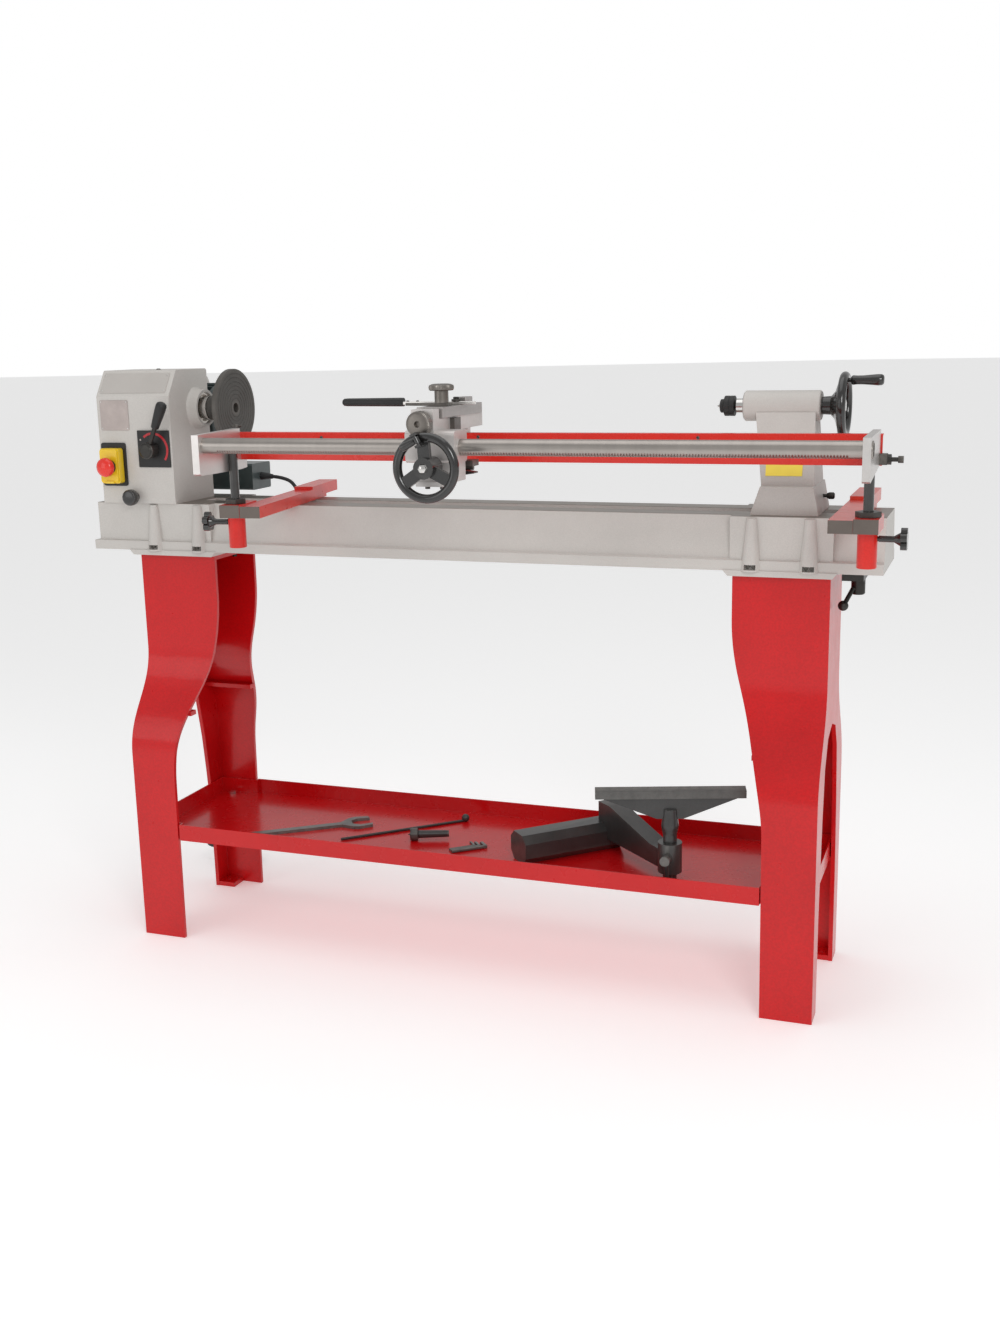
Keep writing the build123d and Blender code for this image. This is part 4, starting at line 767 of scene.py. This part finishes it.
def carriage_pieces():
    """Feed knob, mushroom knob, feed lever with its grip, wheel nut and small screws."""
    bm = add_lathe(bmesh.new(), [(-387, 0), (-387, 4.8), (-393, 5.2), (-393, 13.2), (-392, 18), (-390.5, 20.1),
                                 (-376.6, 20.1), (-375.6, 18), (-375.6, 12), (-372.4, 12), (-372.4, 5),
                                 (-210, 5)], "Y", (CAR_X, 0, 1052), 192, 0.35, 48)
    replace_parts(detail("feed_knob_grip", "feed_knob", bm, knurled_steel, sharp=35), "feed_knob")
    bm = add_lathe(bmesh.new(), [(1098.5, 0), (1098.5, 5.1), (1081.4, 5.1), (1081.4, 11.5), (1100.8, 11.5),
                                 (1101, 18.4), (1102.4, 20.2), (1106, 20.7), (1109.4, 19.9), (1111.4, 16),
                                 (1112, 12), (1112, 0)], "Z", (STUD_X, STUD_Y, 0), 224, 0.3, 56)
    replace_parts(detail("mushroom_knob", "tool_knob", bm, knurled_steel, sharp=35), "tool_knob")
    z = SLIDE_TOP + 0.4
    bm = add_box(bmesh.new(), (FEED_LEVER_X - 102, FEED_LEVER_Y - 5, z),
                 (FEED_LEVER_X + 34, FEED_LEVER_Y + 5, z + 5))
    lever = detail("lever_bar", "feed_lever", bm, bright_bar, bevel=0.6)
    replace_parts(lever, "feed_lever")
    line_start = Vector((FEED_LEVER_X - 95, FEED_LEVER_Y, z + 4.2))
    profile = [(0, 4.5), (0.2, 7.2), (3, 7.4), (60, 7.0), (105, 6.7), (111, 6.2), (113.4, 4.4), (114, 1.5)]
    bm = add_tube(bmesh.new(), [line_start - Vector((a, 0, 0)) for a, radius in profile],
                  [r for a, r in profile], 36)
    detail("feed_lever_grip", "feed_lever", bm, black_grip, sharp=50)
    bm = add_lathe(bmesh.new(), [(z + 4.6, 8), (z + 8, 8), (z + 8.6, 7.4), (z + 8.6, 5), (z + 12, 5), (z + 12.6, 4),
                                 (z + 12.6, 0)], "Z", (FEED_LEVER_X, FEED_LEVER_Y, 0), 48)
    detail("lever_pivot", "feed_lever", bm, dark_steel, sharp=35)
    bm = bmesh.new()
    for x in (FEED_LEVER_X - 88, FEED_LEVER_X - 70):
        add_screw(bm, "Z", x, FEED_LEVER_Y, z + 4.9, 2.6, 2.0, 1)
    detail("lever_screws", "feed_lever", bm, dark_steel)
    bm = add_lathe(bmesh.new(), [(-422, 0), (-421.6, 4), (-420, 7), (-415, 8.6), (-414.6, 8.6)], "Y",
                   (WHEEL_X, 0, WHEEL_Z), 6)
    detail("carriage_wheel_nut", "carriage_handwheel", bm, chrome, bevel=0.4)


def frame_screws():
    """Small screws: along the rail, two bolts on the carriage, and in the bed's pad notches."""
    bm = bmesh.new()
    for x, z in ((-196, 1018), (100, 1020), (478, 1020)):
        add_screw(bm, "Y", x, -214, z, 2.8, 1.4, -1)
    detail("rail_screws", "template_screws", bm, dark_steel)
    bm = bmesh.new()
    for x in (56, 82):
        add_lathe(bm, [(944, 0), (944, 4.6), (950.2, 4.6)], "Z", (x, -336, 0), 6)
    detail("carriage_bolts", "carriage_body", bm, dark_steel, bevel=0.4)
    bm = bmesh.new()
    for leg_x, shift in ((-594, 11), (594, 0)):
        for x in (leg_x - 49 + shift, leg_x + 49 + shift):
            for step in (-4.5, 4.5):
                add_lathe(bm, [(-97.4, 0), (-97.4, 3.2), (-93.5, 3.2)], "Y", (x + step, 0, 794.5), 20)
                add_lathe(bm, [(93.5, 3.2), (97.4, 3.2), (97.4, 0)], "Y", (x + step, 0, 794.5), 20)
    detail("pad_screws", "stand_bolts", bm, dark_steel)


head_plates()
dial_and_switch()
head_controls()
spindle_nose()
tailstock_pieces()
racked_tube()
carriage_pieces()
frame_screws()


# ---------------------------------------------------------------- floor, light and background

def stage_floor():
    """Plain pale floor under the machine."""
    bm = bmesh.new()
    bmesh.ops.create_grid(bm, x_segments=1, y_segments=1, size=60.0)
    mesh = bpy.data.meshes.new("floor")
    bm.to_mesh(mesh)
    bm.free()
    floor = bpy.data.objects.new("floor", mesh)
    bpy.context.scene.collection.objects.link(floor)
    material = bpy.data.materials.new("floor_white")
    material.use_nodes = True
    shader = material.node_tree.nodes["Principled BSDF"]
    shader.inputs["Base Color"].default_value = (0.93, 0.93, 0.93, 1)
    shader.inputs["Roughness"].default_value = 0.9
    shader.inputs["Specular IOR Level"].default_value = 0.1
    shader.inputs["Emission Color"].default_value = (1, 1, 1, 1)
    shader.inputs["Emission Strength"].default_value = 0.28
    mesh.materials.append(material)
    floor.location = (0, 0, -0.0005)


def area_light(name, place_at, target, size, power, colour=(1, 1, 1)):
    """Soft square light aimed at a point."""
    data = bpy.data.lights.new(name, "AREA")
    data.shape = "SQUARE"
    data.size = size
    data.energy = power
    data.color = colour
    light = bpy.data.objects.new(name, data)
    light.location = place_at
    light.rotation_euler = (Vector(target) - Vector(place_at)).to_track_quat("-Z", "Y").to_euler()
    bpy.context.scene.collection.objects.link(light)


stage_floor()
world = bpy.data.worlds.new("world")
world.use_nodes = True
world.node_tree.nodes["Background"].inputs["Color"].default_value = (1, 1, 1, 1)
ray_kind = world.node_tree.nodes.new("ShaderNodeLightPath")
LIGHT_LEVEL, CAMERA_EXTRA = 0.55, 0.45     # background strength for light, and what the camera sees on top
seen = maths(world.node_tree, "MULTIPLY", ray_kind.outputs["Is Camera Ray"], CAMERA_EXTRA)
strength = maths(world.node_tree, "ADD", seen, LIGHT_LEVEL)
world.node_tree.links.new(strength, world.node_tree.nodes["Background"].inputs["Strength"])
bpy.context.scene.world = world
area_light("key", (1.9, -2.9, 2.3), (0.1, 0, 0.75), 1.1, 30)
area_light("fill", (-1.8, -2.6, 1.5), (-0.3, 0, 0.7), 1.6, 9)
area_light("top", (0.0, -0.2, 3.0), (0, 0, 0.8), 2.2, 14)
bpy.context.scene.view_settings.view_transform = "Standard"
